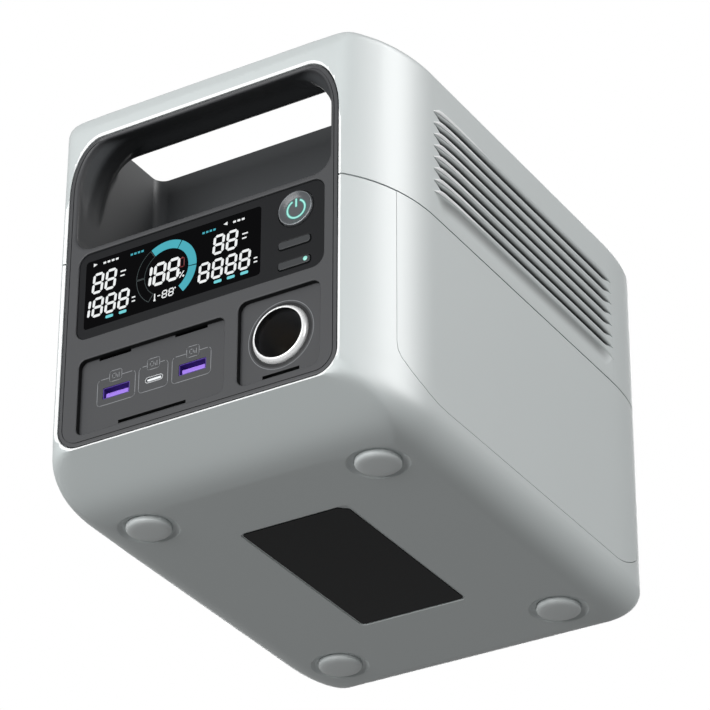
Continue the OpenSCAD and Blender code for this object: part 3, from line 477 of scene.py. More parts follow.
def finished(name, bm, materials, body=HOUSING, replaces=(), smooth=38.0, choose=None):
    """Turns a mesh in millimetres into a piece of the object. choose gives each face its material's number"""
    bmesh.ops.scale(bm, vec=(MM, MM, MM), verts=bm.verts)
    bm.normal_update()
    if choose:
        for face in bm.faces:
            face.material_index = choose(face)
    for face in bm.faces:
        face.smooth = True
    limit = math.radians(smooth)
    for edge in bm.edges:
        edge.smooth = len(edge.link_faces) == 2 and edge.calc_face_angle(0.0) < limit
    mesh = bpy.data.meshes.new(name)
    bm.to_mesh(mesh)
    bm.free()
    piece = bpy.data.objects.new(name, mesh)
    bpy.context.scene.collection.objects.link(piece)
    for material in materials:
        mesh.materials.append(material)
    flat = piece.modifiers.new("even shading", "WEIGHTED_NORMAL")
    flat.keep_sharp = True
    flat.weight = 60
    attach(piece, body)
    if replaces:
        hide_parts(*replaces)
    return piece


# ---------------------------------------------------------------- materials


def add(tree, kind, settings=None, values=None, links=None):
    """Adds a node with its settings, socket values and incoming links"""
    made = tree.nodes.new(kind)
    for key, value in (settings or {}).items():
        setattr(made, key, value)
    for key, value in (values or {}).items():
        made.inputs[key].default_value = value
    for key, source in (links or {}).items():
        tree.links.new(source, made.inputs[key])
    return made


def shade(colour, amount):
    """A colour made darker or lighter"""
    return [min(1.0, c * amount) for c in colour[:3]] + [1.0]


MADE = {}  # materials by name, so that pieces share them
SHEEN = "Specular IOR Level"
PAINTED_HIGHLIGHT = "#F3F5F5"  # pale grey, a painted highlight on the panel's chamfer and the louvre crests
DRIFT = 45.0  # width in millimetres of the slow change in a moulding's colour
LIT_DRIFT = 9.0  # width in millimetres of the unevenness in a backlit film


def new_material(name):
    """An empty material and its node tree"""
    material = bpy.data.materials.new(name)
    material.use_nodes = True
    material.node_tree.nodes.clear()
    return material, material.node_tree


def mix_colours(tree, first, second, factor):
    """Colour between two ends, each of them a colour or a socket"""
    mix = add(tree, "ShaderNodeMix", {"data_type": "RGBA"}, links={"Factor": factor})
    ends = [s for s in mix.inputs if s.type == "RGBA"]
    for socket, end in zip(ends, (first, second)):
        if isinstance(end, bpy.types.NodeSocket):
            tree.links.new(end, socket)
        else:
            socket.default_value = end
    return next(s for s in mix.outputs if s.type == "RGBA")


def surface(
    name,
    code,
    roughness,
    grain=0.7,
    relief=0.02,
    mottle=0.04,
    spread_r=0.06,
    metallic=0.0,
    stretch=None,
    deep=None,
    **extra,
):
    """Plastic, rubber or metal: fine grain in the relief and the roughness, and a slow drift in the colour

    grain and relief are in millimetres. deep is (colour, near, far): that colour fades to this material's
    own between the two distances from the object's middle, in metres. It paints the shade in the louvre
    grooves and the highlight on their crests
    """
    if name in MADE:
        return MADE[name]
    material, tree = new_material(name)
    place = add(tree, "ShaderNodeTexCoord").outputs["Object"]
    if stretch:
        turned = add(tree, "ShaderNodeMapping", values={"Scale": stretch}, links={"Vector": place})
        place = turned.outputs["Vector"]
    grains = {"Scale": 1 / (grain * MM), "Detail": 2.0, "Roughness": 0.6}
    drifts = {"Scale": 1 / (DRIFT * MM), "Detail": 1.0}
    fine = add(tree, "ShaderNodeTexNoise", values=grains, links={"Vector": place}).outputs["Fac"]
    slow = add(tree, "ShaderNodeTexNoise", values=drifts, links={"Vector": place}).outputs["Fac"]
    base = linear(code)
    mixed = mix_colours(tree, shade(base, 1 - mottle), shade(base, 1 + mottle), slow)
    if deep:
        colour, near, far = deep
        parts = add(tree, "ShaderNodeSeparateXYZ", links={"Vector": place})
        aside = add(tree, "ShaderNodeMath", {"operation": "ABSOLUTE"}, links={0: parts.outputs["X"]})
        limits = {"From Min": near, "From Max": far}
        smooth = {"interpolation_type": "SMOOTHSTEP"}
        fade = add(tree, "ShaderNodeMapRange", smooth, limits, {"Value": aside.outputs[0]})
        mixed = mix_colours(tree, linear(colour), mixed, fade.outputs["Result"])
    limits = {"To Min": max(0.0, roughness - spread_r), "To Max": roughness + spread_r}
    rough = add(tree, "ShaderNodeMapRange", values=limits, links={"Value": fine})
    bump = add(
        tree, "ShaderNodeBump", values={"Strength": 1.0, "Distance": relief * MM}, links={"Height": fine}
    )
    shader = add(
        tree,
        "ShaderNodeBsdfPrincipled",
        values={"Metallic": metallic, **extra},
        links={"Base Color": mixed, "Roughness": rough.outputs["Result"], "Normal": bump.outputs["Normal"]},
    )
    add(tree, "ShaderNodeOutputMaterial", links={"Surface": shader.outputs["BSDF"]})
    MADE[name] = material
    return material


def lit(name, code, strength):
    """Backlit film: its own light with a faint unevenness across it, over an almost black base"""
    if name in MADE:
        return MADE[name]
    material, tree = new_material(name)
    place = add(tree, "ShaderNodeTexCoord").outputs["Object"]
    uneven = {"Scale": 1 / (LIT_DRIFT * MM), "Detail": 1.0}
    slow = add(tree, "ShaderNodeTexNoise", values=uneven, links={"Vector": place})
    base = linear(code)
    glow = mix_colours(tree, shade(base, 0.9), shade(base, 1.05), slow.outputs["Fac"])
    shader = add(
        tree,
        "ShaderNodeBsdfPrincipled",
        values={"Base Color": (0.02, 0.02, 0.02, 1), "Roughness": 0.35, "Emission Strength": strength},
        links={"Emission Color": glow},
    )
    add(tree, "ShaderNodeOutputMaterial", links={"Surface": shader.outputs["BSDF"]})
    MADE[name] = material
    return material


def shell_abs():
    """Spark-textured ABS"""
    # A soft, even light grey. The grain is drawn at 0.5 mm, coarser than the real 0.1 mm, so that it shows
    return surface(
        "ABS, spark-textured, light grey",
        finishes().shell,
        0.42,
        grain=0.5,
        relief=0.004,
        mottle=0.012,
        spread_r=0.03,
    )


def chamfer_highlight_abs():
    """Chamfer round the front panel, with a painted highlight"""
    # Smoother than the grained shell, so shinier; its pale colour is a painted highlight
    return surface("ABS, chamfer, painted highlight", PAINTED_HIGHLIGHT, 0.3, grain=0.6, relief=0.001, mottle=0.01)


def groove_shade_abs():
    """The shell's ABS inside the louvres, with painted shade"""
    # Painted shade: darker towards the bottom of the grooves
    depth = ((HALF - 1.6) * MM, (HALF + 0.1) * MM)
    return surface(
        "ABS, spark-textured, painted shade in the grooves",
        finishes().shell,
        0.5,
        grain=0.5,
        relief=0.004,
        mottle=0.012,
        deep=("#2A2C2C", *depth),
    )


def crest_highlight_abs():
    """The louvre blades' crests, with a painted highlight"""
    # Painted highlight: the crests go from the shell's grey to pale where they stand proud
    proud = ((HALF + 0.1) * MM, (HALF + 0.3) * MM)
    return surface(
        "ABS, painted highlight on the crests",
        PAINTED_HIGHLIGHT,
        0.34,
        grain=0.5,
        relief=0.002,
        mottle=0.01,
        deep=(finishes().shell, *proud),
    )


def panel_abs():
    """Front panel"""
    # Fine etched ABS: an even dark grey with a soft sheen
    return surface(
        "ABS, etched, dark grey", finishes().panel, 0.5,
        grain=0.45, relief=0.006, mottle=0.03, **{SHEEN: 0.4}
    )


def liner_abs():
    """Lining of the carry opening"""
    # Etched like the panel but duller, so the opening goes dark towards its depth
    return surface(
        "ABS, etched, carry opening", finishes().liner, 0.52,
        grain=0.45, relief=0.006, mottle=0.03, **{SHEEN: 0.3}
    )


def recess_shade_black():
    """Sides of the openings and slots, in painted shade"""
    # Painted shade: a dull black on the sides, so the gaps read as dark lines
    return surface("ABS, painted shade, black", "#0D0E0F", 0.6, grain=0.6, relief=0.004, **{SHEEN: 0.2})


def bezel_pc():
    """Display bezel"""
    # Satin polycarbonate: near black, with only a faint wide highlight
    return surface(
        "Polycarbonate, satin, near black",
        finishes().bezel,
        0.38,
        grain=0.4,
        relief=0.003,
        mottle=0.03,
        **{SHEEN: 0.15},
    )


def window_glass():
    """Display window"""
    # Polished and smoked: almost black, with a sharp but weak reflection
    return surface(
        "Polycarbonate, polished, smoked",
        "#030304",
        0.14,
        grain=0.8,
        relief=0.0,
        mottle=0.05,
        spread_r=0.02,
        **{SHEEN: 0.04},
    )


def chrome_painted_reflection():
    """Ring of the round socket, with a painted reflection"""
    # Satin plating, bright and pale on its lip: the near-white colour is a painted reflection. Metallic stays
    # low, or it would mirror the dark panel
    return surface(
        "Chrome plate, satin, painted reflection", "#FAFBFB", 0.28,
        grain=0.9, relief=0.0, mottle=0.01, spread_r=0.02, metallic=0.35
    )


def nickel():
    """Shell of the narrow port"""
    # Drawn steel under nickel: a warm grey metal with a blurred reflection
    return surface(
        "Nickel plate, satin", "#C9CBCD", 0.3, grain=0.5, relief=0.002, mottle=0.03, metallic=1.0
    )


# ---------------------------------------------------------------- shared solids


def outer_body():
    """The housing's outer form, soft where the front slope and the facet meet the corners"""
    h = housing()
    tall = TALL
    levels = [h.base_fillet * (1 - math.cos(math.radians(90 * i / 18))) for i in range(19)]
    levels = sorted([*levels, h.slope_height])
    # Closer together where the slope ends and where the facet starts
    levels += [16.6, 18.2, 19.8, 21.4, 23.0, 25.0, 27.5, *spread(27.5, tall - 36, 12)]
    levels += [tall - drop for drop in (36, 28, 22, 17, 13, 10, 8.6, h.facet_height, 6.6)]
    levels += [tall - h.top_fillet + h.top_fillet * math.sin(math.radians(90 * i / 10)) for i in range(11)]
    rings = []
    for z in levels:
        inset = side_inset(z, tall, h.base_fillet, h.top_fillet)
        rings.append([(x, y, BASE + z) for x, y in plan(inset, FRONT + front_set(z, tall))])
    bm = loft(rings)
    bmesh.ops.triangulate(bm, faces=[f for f in bm.faces if len(f.verts) > 4])

    def near_slope(place):
        """Where the front slope meets the base and the lower corners, off the front panel's seat"""
        x, z = place.x, place.z - BASE
        low = 0.03 < z < 11 + 14 * blend(46, 58, abs(x)) and place.y < FRONT + 62
        return low and not inside_panel(x, z, 2.6)

    def near_facet(place):
        """Where the facet meets the upper corners"""
        high = 128 < place.z - BASE < tall - 0.05
        return high and place.y < FRONT + 14 and abs(place.x) > 52

    for chosen, times in ((near_slope, 16), (near_facet, 8)):
        soft = [v for v in bm.verts if chosen(v.co)]
        for _ in range(times):
            bmesh.ops.smooth_vert(
                bm, verts=soft, factor=0.5, use_axis_x=True, use_axis_y=True, use_axis_z=True
            )
    return bm


def core_body(inset, front_high, front_low, bottom):
    """A simpler form inside the outer one, for hollowing, with one front depth high up and one low down"""
    h = housing()
    tall = TALL - inset
    low_r, top_r = h.base_fillet - inset, max(1.0, h.top_fillet - inset)
    levels = [bottom + low_r * (1 - math.cos(math.radians(90 * i / 8))) for i in range(9)]
    levels += [28.0, tall - top_r - 1]
    levels += [tall - top_r + top_r * math.sin(math.radians(90 * i / 5)) for i in range(1, 6)]
    rings = []
    for z in levels:
        step = side_inset(z - bottom, tall - bottom, low_r, top_r)
        front = front_low if z < 27 else front_high
        front += step if front < 10 else 0
        rings.append([(x, y, BASE + z) for x, y in plan(inset + step, FRONT + front)])
    return loft(rings)


def grip_air():
    """Air in front of and under the grip bar: round front lip and rounded bar"""
    h = housing()
    lip, bar_r = 1.5, 8.0  # radii of the front lip and of the bar's rear edge
    sections = []

    def section(y, grow, limit=None):
        """Adds the outline at a depth; its upper corners bulge near the front and slim towards the rear"""
        top = h.bar_height - 3.9 * (1 - blend(0, 14, y))
        swell = blend(1, 8, y) * (1 - blend(15, 24, y))
        slim = blend(14, 22, y)
        rx, rz = 13.5 + 10 * swell - 2.5 * slim, 21 + 14 * swell - 7 * slim
        outline = arch(h.grip_width, h.grip_height, top, 8.0, rx, rz, grow, limit)
        low = BASE + h.grip_height if y > 10 else 0.0
        sections.append([(x, FRONT + y, max(low, BASE + z)) for x, z in outline])

    face = panel().set_back
    section(-3.0, lip)
    for i in range(7):
        rise = math.sin(math.radians(90 * i / 6))
        section(face + lip * rise, lip * (1 - math.sqrt(1 - (1 - rise) ** 2)))
    for y in (3.0, 4.2, 5.4, 6.6, 8.0, 10.0, 12.5, 15.0, 16.7, 18.4):
        section(y, 0.0)
    for i in range(9):
        t = math.radians(90 * i / 8)
        section(h.bar_depth - bar_r + bar_r * math.sin(t), bar_r * (1 - math.cos(t)), h.grip_width / 2)
    section(h.bar_depth + 0.6, bar_r, h.grip_width / 2)
    return loft(sections)


def liner_outline(grow):
    """Outer outline of the carry opening's lining, in front view"""
    h = housing()
    return arch(h.grip_width + 4, h.grip_height - 2, h.bar_height + 3, 10.0, 15.5, 23.0, grow)


def pocket_air():
    """Air behind the grip bar, open through the top, with rounded rear corners"""
    h = housing()
    r = POCKET_R
    sections = []
    for i in range(-3, 9):
        t = math.radians(max(0.0, 90 * i / 8))
        y = h.bar_depth + 8 * (i + 3) if i < 0 else h.pocket_depth - r + r * math.sin(t)
        outline = arch(h.grip_width - 2 * r * (1 - math.cos(t)), h.grip_height, TALL + 6, r, 1.0, 1.0)
        sections.append([(x, FRONT + y, BASE + z) for x, z in outline])
    return loft(sections)


def hole_tool(grow):
    """Upright prism over the pocket, for the hole in the top"""
    h = housing()
    half = h.grip_width / 2 + grow
    y0, y1 = FRONT + h.bar_depth - grow, FRONT + h.pocket_depth + grow
    r = POCKET_R + grow
    turns = [math.radians(a) for a in range(15, 90, 15)]
    points = [(half, y0), (half, y1 - r)]
    points += [(half - r + r * math.cos(t), y1 - r + r * math.sin(t)) for t in turns]
    points += [(half - r, y1)]
    points += [(-x, y) for x, y in reversed(points)]
    return slab_between([(x, y, BASE + TALL - 8) for x, y in points], (0, 0, 16))


def panel_arch(grow):
    """Outline of the front panel's seat"""
    p = panel()
    return arch(p.width, p.bottom, p.top, PANEL_R, PANEL_RX, PANEL_RZ, grow, steps=14)


def louvre_bend(s, length):
    """How far a blade droops towards its ends"""
    return -2.7 * max(0.0, 1 - s / 26) ** 2 - 2.2 * max(0.0, 1 - (length - s) / 10) ** 2


def louvre_tool(side):
    """Eight long blades' gaps on one side: each falls away below its ridge and ends at the next one"""
    tools = []
    depth, reach = 2.85, 1.5  # of the cut, into the side and out of it
    for k in range(LOUVRES):
        ridge = LOUVRE_LOW + k * LOUVRE_PITCH
        profile = [
            (reach, -0.45), (0.0, -0.45), (-0.08, -0.75), (-0.3, -1.1), (-0.7, -1.45), (-1.25, -1.7),
            (-2.0, -1.9)
        ]
        profile += [(-depth, -2.05), (-depth, -4.1), (-0.5, -4.3), (0.0, -4.55), (reach, -4.55)]
        if k == 0:  # the lowest gap runs out softly into the side
            profile[3:] = [
                (-0.45, -1.1), (-0.8, -1.5), (-1.0, -2.1), (-0.95, -3.0), (-0.75, -4.4), (-0.45, -6.2),
                (-0.18, -8.2), (0.0, -9.8), (reach, -9.9)
            ]
        length = LOUVRE_REAR - LOUVRE_FRONT
        stations = [0.0, 0.8, 1.8, 3, 4.5, 6, 8, 10, 12, 14.5, 18, 22, 27]
        stations = stations + spread(27, length - 27, 3) + [length - s for s in reversed(stations)]
        sections = []
        for s in stations:
            end = min(s, length - s)
            sunk = blend(0, 13, end) ** 0.5
            narrow = 0.15 + 0.85 * blend(0, 8, end)
            y = FRONT + LOUVRE_FRONT + s
            line = BASE + ridge + louvre_bend(s, length)
            section = []
            for x, z in profile:
                x = x if x > 0 else x * sunk + 0.03 * (1 - sunk)
                section.append((side * (HALF + x), y, line + (z + 0.45) * narrow - 0.45))
            sections.append(section)
        tools.append(loft(sections))
    return join(*tools)


def louvre_blades(side):
    """The blades' crests: they rise quickly out of the side at the front and sink back at the rear"""
    length = LOUVRE_REAR - LOUVRE_FRONT
    stations = [0.0, 0.7, 1.5, 2.5, 4.0, 6.0, 8.5, 11.5, 15.0, 20.0, *spread(20, length - 16, 3)]
    stations += [length - left for left in (16, 12, 8, 4, 0)]
    crests = []
    for k in range(LOUVRES):
        ridge = LOUVRE_LOW + k * LOUVRE_PITCH
        sections = []
        for s in stations:
            swell = (1 - math.exp(-s / 2.0)) * math.exp(-max(0.0, s - 7) / 9)
            rise = (0.75 * swell + 0.12) * blend(0, 15, length - s) + 0.02
            low, high = -0.52, -0.52 + (1.46 + 0.7 * swell) * (0.3 + 0.7 * blend(0, 5, s))
            droop = louvre_bend(s, length)
            centre, reach = (low + high) / 2, (high - low) / 2
            angles = [math.radians(t) for t in range(0, 181, 20)]
            arc = [(rise * math.sin(t), centre - reach * math.cos(t)) for t in angles]
            arc = [(-0.55, low), *arc, (-0.55, high)]
            y = FRONT + LOUVRE_FRONT + s
            sections.append([(side * (HALF + x), y, BASE + ridge + droop + z) for x, z in arc])
        crests.append(loft(sections))
    return join(*crests)


def side_outline(grow):
    """Side panel outline as (y behind the front plane, z)"""
    h = housing()
    front, rear, bottom = SIDE_PANEL
    y0, y1, z0 = front - grow, rear + grow, bottom - grow
    top = h.part_height - h.seam / 2 + (grow if grow > 0 else 0)
    lower_front = [
        (y0, z0 + 16.5), (y0 + 0.5, z0 + 13.2), (y0 + 2.3, z0 + 10.4), (y0 + 7, z0 + 7),
        (y0 + 12.3, z0 + 4.3), (y0 + 19, z0 + 1.9), (y0 + 26.2, z0 + 0.4), (y0 + 33, z0)
    ]
    lower_rear = [
        (y1 - 24, z0), (y1 - 20, z0 + 0.5), (y1 - 16, z0 + 1.6), (y1 - 9, z0 + 4.6), (y1 - 3, z0 + 8.2),
        (y1 - 0.8, z0 + 10.4), (y1, z0 + 14)
    ]
    return lower_front + lower_rear + [(y1, top), (y0, top)]


def side_tool(side, grow):
    """Prism that takes in one side panel"""
    x = 60.0 if side > 0 else -60.0
    return slab_between([(x, FRONT + y, BASE + z) for y, z in side_outline(grow)], (side * 40.0, 0, 0))


def inside_panel(x, z, grow):
    """Whether a point lies inside the panel's outline grown by an amount"""
    outline = panel_arch(grow)
    crossings = 0
    for (x0, z0), (x1, z1) in zip(outline, outline[1:] + outline[:1]):
        if (z0 > z) != (z1 > z) and x < x0 + (z - z0) * (x1 - x0) / (z1 - z0):
            crossings += 1
    return crossings % 2 == 1


PLAIN, CHAMFER_HIGHLIGHT, GROOVE_SHADE, CREST_HIGHLIGHT = range(4)  # numbers of the shells' materials


def shell_finish(face):
    """Plain shell, chamfer round the panel with its painted highlight, groove between two louvre blades with
    its painted shade, or crest of a blade with its painted highlight
    """
    centre = face.calc_center_median() / MM
    if centre.y < FRONT + 0.8:
        if all(inside_panel(v.co.x / MM, v.co.z / MM - BASE, RIM + 0.1) for v in face.verts):
            return CHAMFER_HIGHLIGHT
    z = centre.z - BASE
    along = centre.y - FRONT - LOUVRE_FRONT
    length = LOUVRE_REAR - LOUVRE_FRONT
    if 0 < along < length and LOUVRE_LOW - 13 < z < LOUVRE_LOW + LOUVRES * LOUVRE_PITCH:
        if abs(centre.x) > HALF + 0.015:
            return CREST_HIGHLIGHT
        if HALF - 2.9 < abs(centre.x) < HALF - 0.02 and z > LOUVRE_LOW - 10 + louvre_bend(along, length):
            return GROOVE_SHADE
    return PLAIN


def shell_blank(front_low):
    """The housing's form, hollowed and opened for the front panel"""
    core = core_body(housing().wall, front_high=5.0, front_low=front_low, bottom=4.0)
    return carve(outer_body(), [core, eased(panel_arch, 0.0, RIM, PLATE_BACK + 0.05, 0.5)])


def finish_shell(name, body, joint):
    """Softens a shell's edge at the joint and gives it its materials"""
    round_edges(body, 0.3, 2, lambda e: abs(middle(e).z - joint) < 0.02)
    materials = [shell_abs(), chamfer_highlight_abs(), groove_shade_abs(), crest_highlight_abs()]
    finished(f"{name}_skin", body, materials, replaces=[name], choose=shell_finish)


# ---------------------------------------------------------------- operators


class STATION_OT_top_shell(Operator):
    """Upper shell with its facet, hand hole and louvres"""

    bl_idname = "station.top_shell"
    bl_label = "Top shell"

    def execute(self, context):
        h = housing()
        joint = BASE + h.part_height + h.seam / 2
        below = box(-120, 120, -160, 160, -40, joint)
        openings = [slab(panel_arch(-3), -5, 9), hole_tool(2.15), slab(liner_outline(0.15), PLATE_BACK, 9)]
        body = carve(shell_blank(40.0), [below, *openings])

        def hole(edge):
            """Edges round the hole in the top"""
            place = middle(edge)
            return place.z > BASE + TALL - 0.2 and abs(place.x) < 63 and FRONT + 25 < place.y < FRONT + 61

        round_edges(body, 0.7, 3, hole)
        body = carve(body, [louvre_tool(1), louvre_tool(-1)])
        body = carve(body, [louvre_blades(1), louvre_blades(-1)], "UNION")
        finish_shell("top_shell", body, joint)
        return {"FINISHED"}


class STATION_OT_lower_shell(Operator):
    """Lower shell with its front slope, its side panels' seats, and a blank plate's seat in its base"""

    bl_idname = "station.lower_shell"
    bl_label = "Lower shell"

    def execute(self, context):
        h = housing()
        joint = BASE + h.part_height - h.seam / 2
        above = box(-120, 120, -160, 160, joint, 260)
        body = carve(shell_blank(44.0), [above, slab(panel_arch(-3), -5, 9)])
        seat = 1.7  # depth of the side panels' seats
        seats = [carve(side_tool(side, 0.22), [core_body(seat, seat, seat, seat)]) for side in (1, -1)]
        body = carve(body, seats)
        # A shallow dish round each foot, as (radius, height)
        dish = [
            (0.0, -3.0), (12.9, -3.0), (12.9, -0.02), (12.5, 0.08), (12.0, 0.5), (11.3, 0.95), (10.4, 1.05)
        ]
        dish += [(9.75, 1.05), (9.75, 1.3), (0.0, 1.3)]
        for x in (-FOOT_X, FOOT_X):
            for y in FOOT_Y:
                body = carve(body, [lathe(dish, (x, FRONT + y, BASE), "Z", 64)])
        x0, x1, y0, y1 = LABEL
        outline = rounded(x0 - 0.6, x1 + 0.6, y0 - 0.6, y1 + 0.6, 2.6)
        deep = 0.5  # depth of the blank plate's seat
        recess = slab_between([(x, FRONT + y, -4) for x, y in outline], (0, 0, BASE + deep + 4))
        body = carve(body, [recess])

        def brim(edge):
            """Edges round the blank plate's seat"""
            place = middle(edge)
            around = abs(place.x) < x1 + 1 and y0 - 1 < place.y - FRONT < y1 + 1
            return around and abs(place.z - BASE) < 0.05

        round_edges(body, 0.4, 3, brim)
        # Seat of the charging jack: a bore in the rear wall, and a wider recess outside it
        jack = [(0.0, -6.0), (5.5, -6.0), (5.5, 2.2), (9.0, 2.2), (9.0, 9.0), (0.0, 9.0)]
        body = carve(body, [lathe(jack, (-42, REAR - 4.4, BASE + 34), "Y", 64)])
        finish_shell("lower_shell", body, joint)
        return {"FINISHED"}


class STATION_OT_side_panels(Operator):
    """The two bare side panels"""

    bl_idname = "station.side_panels"
    bl_label = "Side panels"

    def execute(self, context):
        for side, name in ((1, "right"), (-1, "left")):
            skin = carve(outer_body(), [side_tool(side, 0.0)], "INTERSECT")
            thick = 1.5  # thickness of a side panel
            skin = carve(skin, [core_body(thick, thick, thick, thick)])
            round_edges(skin, 0.3, 2, lambda e: abs(middle(e).x) > 70, 50.0)
            finished(
                f"side_panel_{name}_skin", skin, [shell_abs()], replaces=[f"side_panel_{name}"],
            )
        return {"FINISHED"}


class STATION_OT_front_panel(Operator):
    """Dark front panel with its openings"""

    bl_idname = "station.front_panel"
    bl_label = "Front panel"

    def execute(self, context):
        p = panel()
        half, low, high = p.bezel_width / 2, p.bezel_bottom, p.bezel_bottom + p.bezel_height
        plate = slab(panel_arch(-0.4), p.set_back, PLATE_BACK)
        round_edges(plate, 0.6, 2, lambda e: near_front(e, p.set_back + 0.1), 60)
        groove = carve(slab(panel_arch(-2.0), -1, p.set_back + 0.45), [slab(panel_arch(-2.35), -2, 2)])
        plate = carve(plate, [groove])
        gap = 0.15  # round the display bezel
        bezel = (-half - gap, half + gap, low - gap, high + gap, 5.2)
        openings = [bezel, (*USB_OPENING, 3.2), (*SOCKET_OPENING, 3.8)]
        plate = carve(plate, [eased(grown_rounded(*opening), p.set_back, 0.5, 5.0) for opening in openings])
        plate = carve(plate, [grip_air()])

        def inside(face):
            """Sides of the two lower openings in painted shade, panel grey elsewhere"""
            centre = face.calc_center_median() / MM
            facing = abs(face.normal.y) < 0.3
            return 1 if facing and abs(centre.x) < 58.5 and BASE + 17 < centre.z < BASE + 60 else 0

        finished(
            "front_panel_skin", plate, [panel_abs(), recess_shade_black()], replaces=["front_panel"],
            choose=inside
        )
        return {"FINISHED"}


class STATION_OT_carry_liner(Operator):
    """Lining of the carry opening"""

    bl_idname = "station.carry_liner"
    bl_label = "Carry liner"

    def execute(self, context):
        h = housing()
        half = h.grip_width / 2 + 2
        block = slab(liner_outline(0), PLATE_BACK, h.bar_depth - 1)
        tubs = []
        r = POCKET_R + 2.0
        turns = [math.radians(a) for a in range(0, 91, 10)]
        # Two tubs behind the front block: half width, front, rear, bottom and top
        sizes = (
            (half - 0.1, 16, 59.9, h.grip_height - 1.9, TALL - 3.4),
            (half, h.bar_depth - 2, 60, h.grip_height + 12, TALL - 0.35),
        )
        for side, y0, y1, low, high in sizes:
            outline = [(side, y0)]
            outline += [(side - r + r * math.cos(t), y1 - r + r * math.sin(t)) for t in turns]
            outline += [(-x, y) for x, y in reversed(outline)]
            corners = [(x, FRONT + y, BASE + low) for x, y in outline]
            tubs.append(slab_between(corners, (0, 0, high - low)))
        body = carve(block, tubs, "UNION")
        body = carve(body, [grip_air(), pocket_air()])
        round_edges(body, 0.5, 2, lambda e: middle(e).z > BASE + TALL - 0.5)
        finished("carry_liner_skin", body, [liner_abs()], replaces=["handle_liner"])
        return {"FINISHED"}


# What the display shows. Rows of digits: left, bottom, a digit's width and height, pitch, digits, stroke
DIGIT_ROWS = (
    (-51.5, 83.0, 5.3, 9.5, 6.2, "88", 1.15),
    (-57.3, 72.0, 5.3, 9.0, 6.2, "1888", 1.15),
    (-28.7, 77.5, 5.9, 10.4, 6.6, "188", 1.3),
    (6.0, 83.0, 5.3, 9.0, 6.2, "88", 1.15),
    (-0.6, 72.0, 5.3, 9.0, 6.3, "8888", 1.15),
    (-17.4, 70.7, 2.5, 3.6, 3.1, "88", 0.5),
)
# Bars: left, bottom, width and height. They stand where units and words would
WHITE_BARS = (
    (-19.3, 72.3, 1.3, 0.5),
    (-20.9, 71.0, 0.5, 3.0),
    (-21.1, 70.6, 0.9, 0.8),
    (-37.6, 89.4, 2.6, 0.6),
    (-37.6, 87.4, 2.0, 0.6),
    (20.0, 88.3, 2.6, 0.6),
    (20.0, 86.3, 2.0, 0.6),
    (-31.6, 73.6, 1.6, 0.6),
    (-31.6, 75.4, 1.6, 0.6),
    (25.6, 73.6, 1.6, 0.6),
    (25.6, 75.4, 1.6, 0.6),
)
# Dots of the degree and percent signs: middle and radius
WHITE_DOTS = ((-11.0, 73.9, 0.35), (-8.9, 80.0, 0.45), (-7.3, 78.2, 0.45))
GAUGE = (-15.4, 82.7, 10.4, 14.2)  # middle, inner radius and outer radius


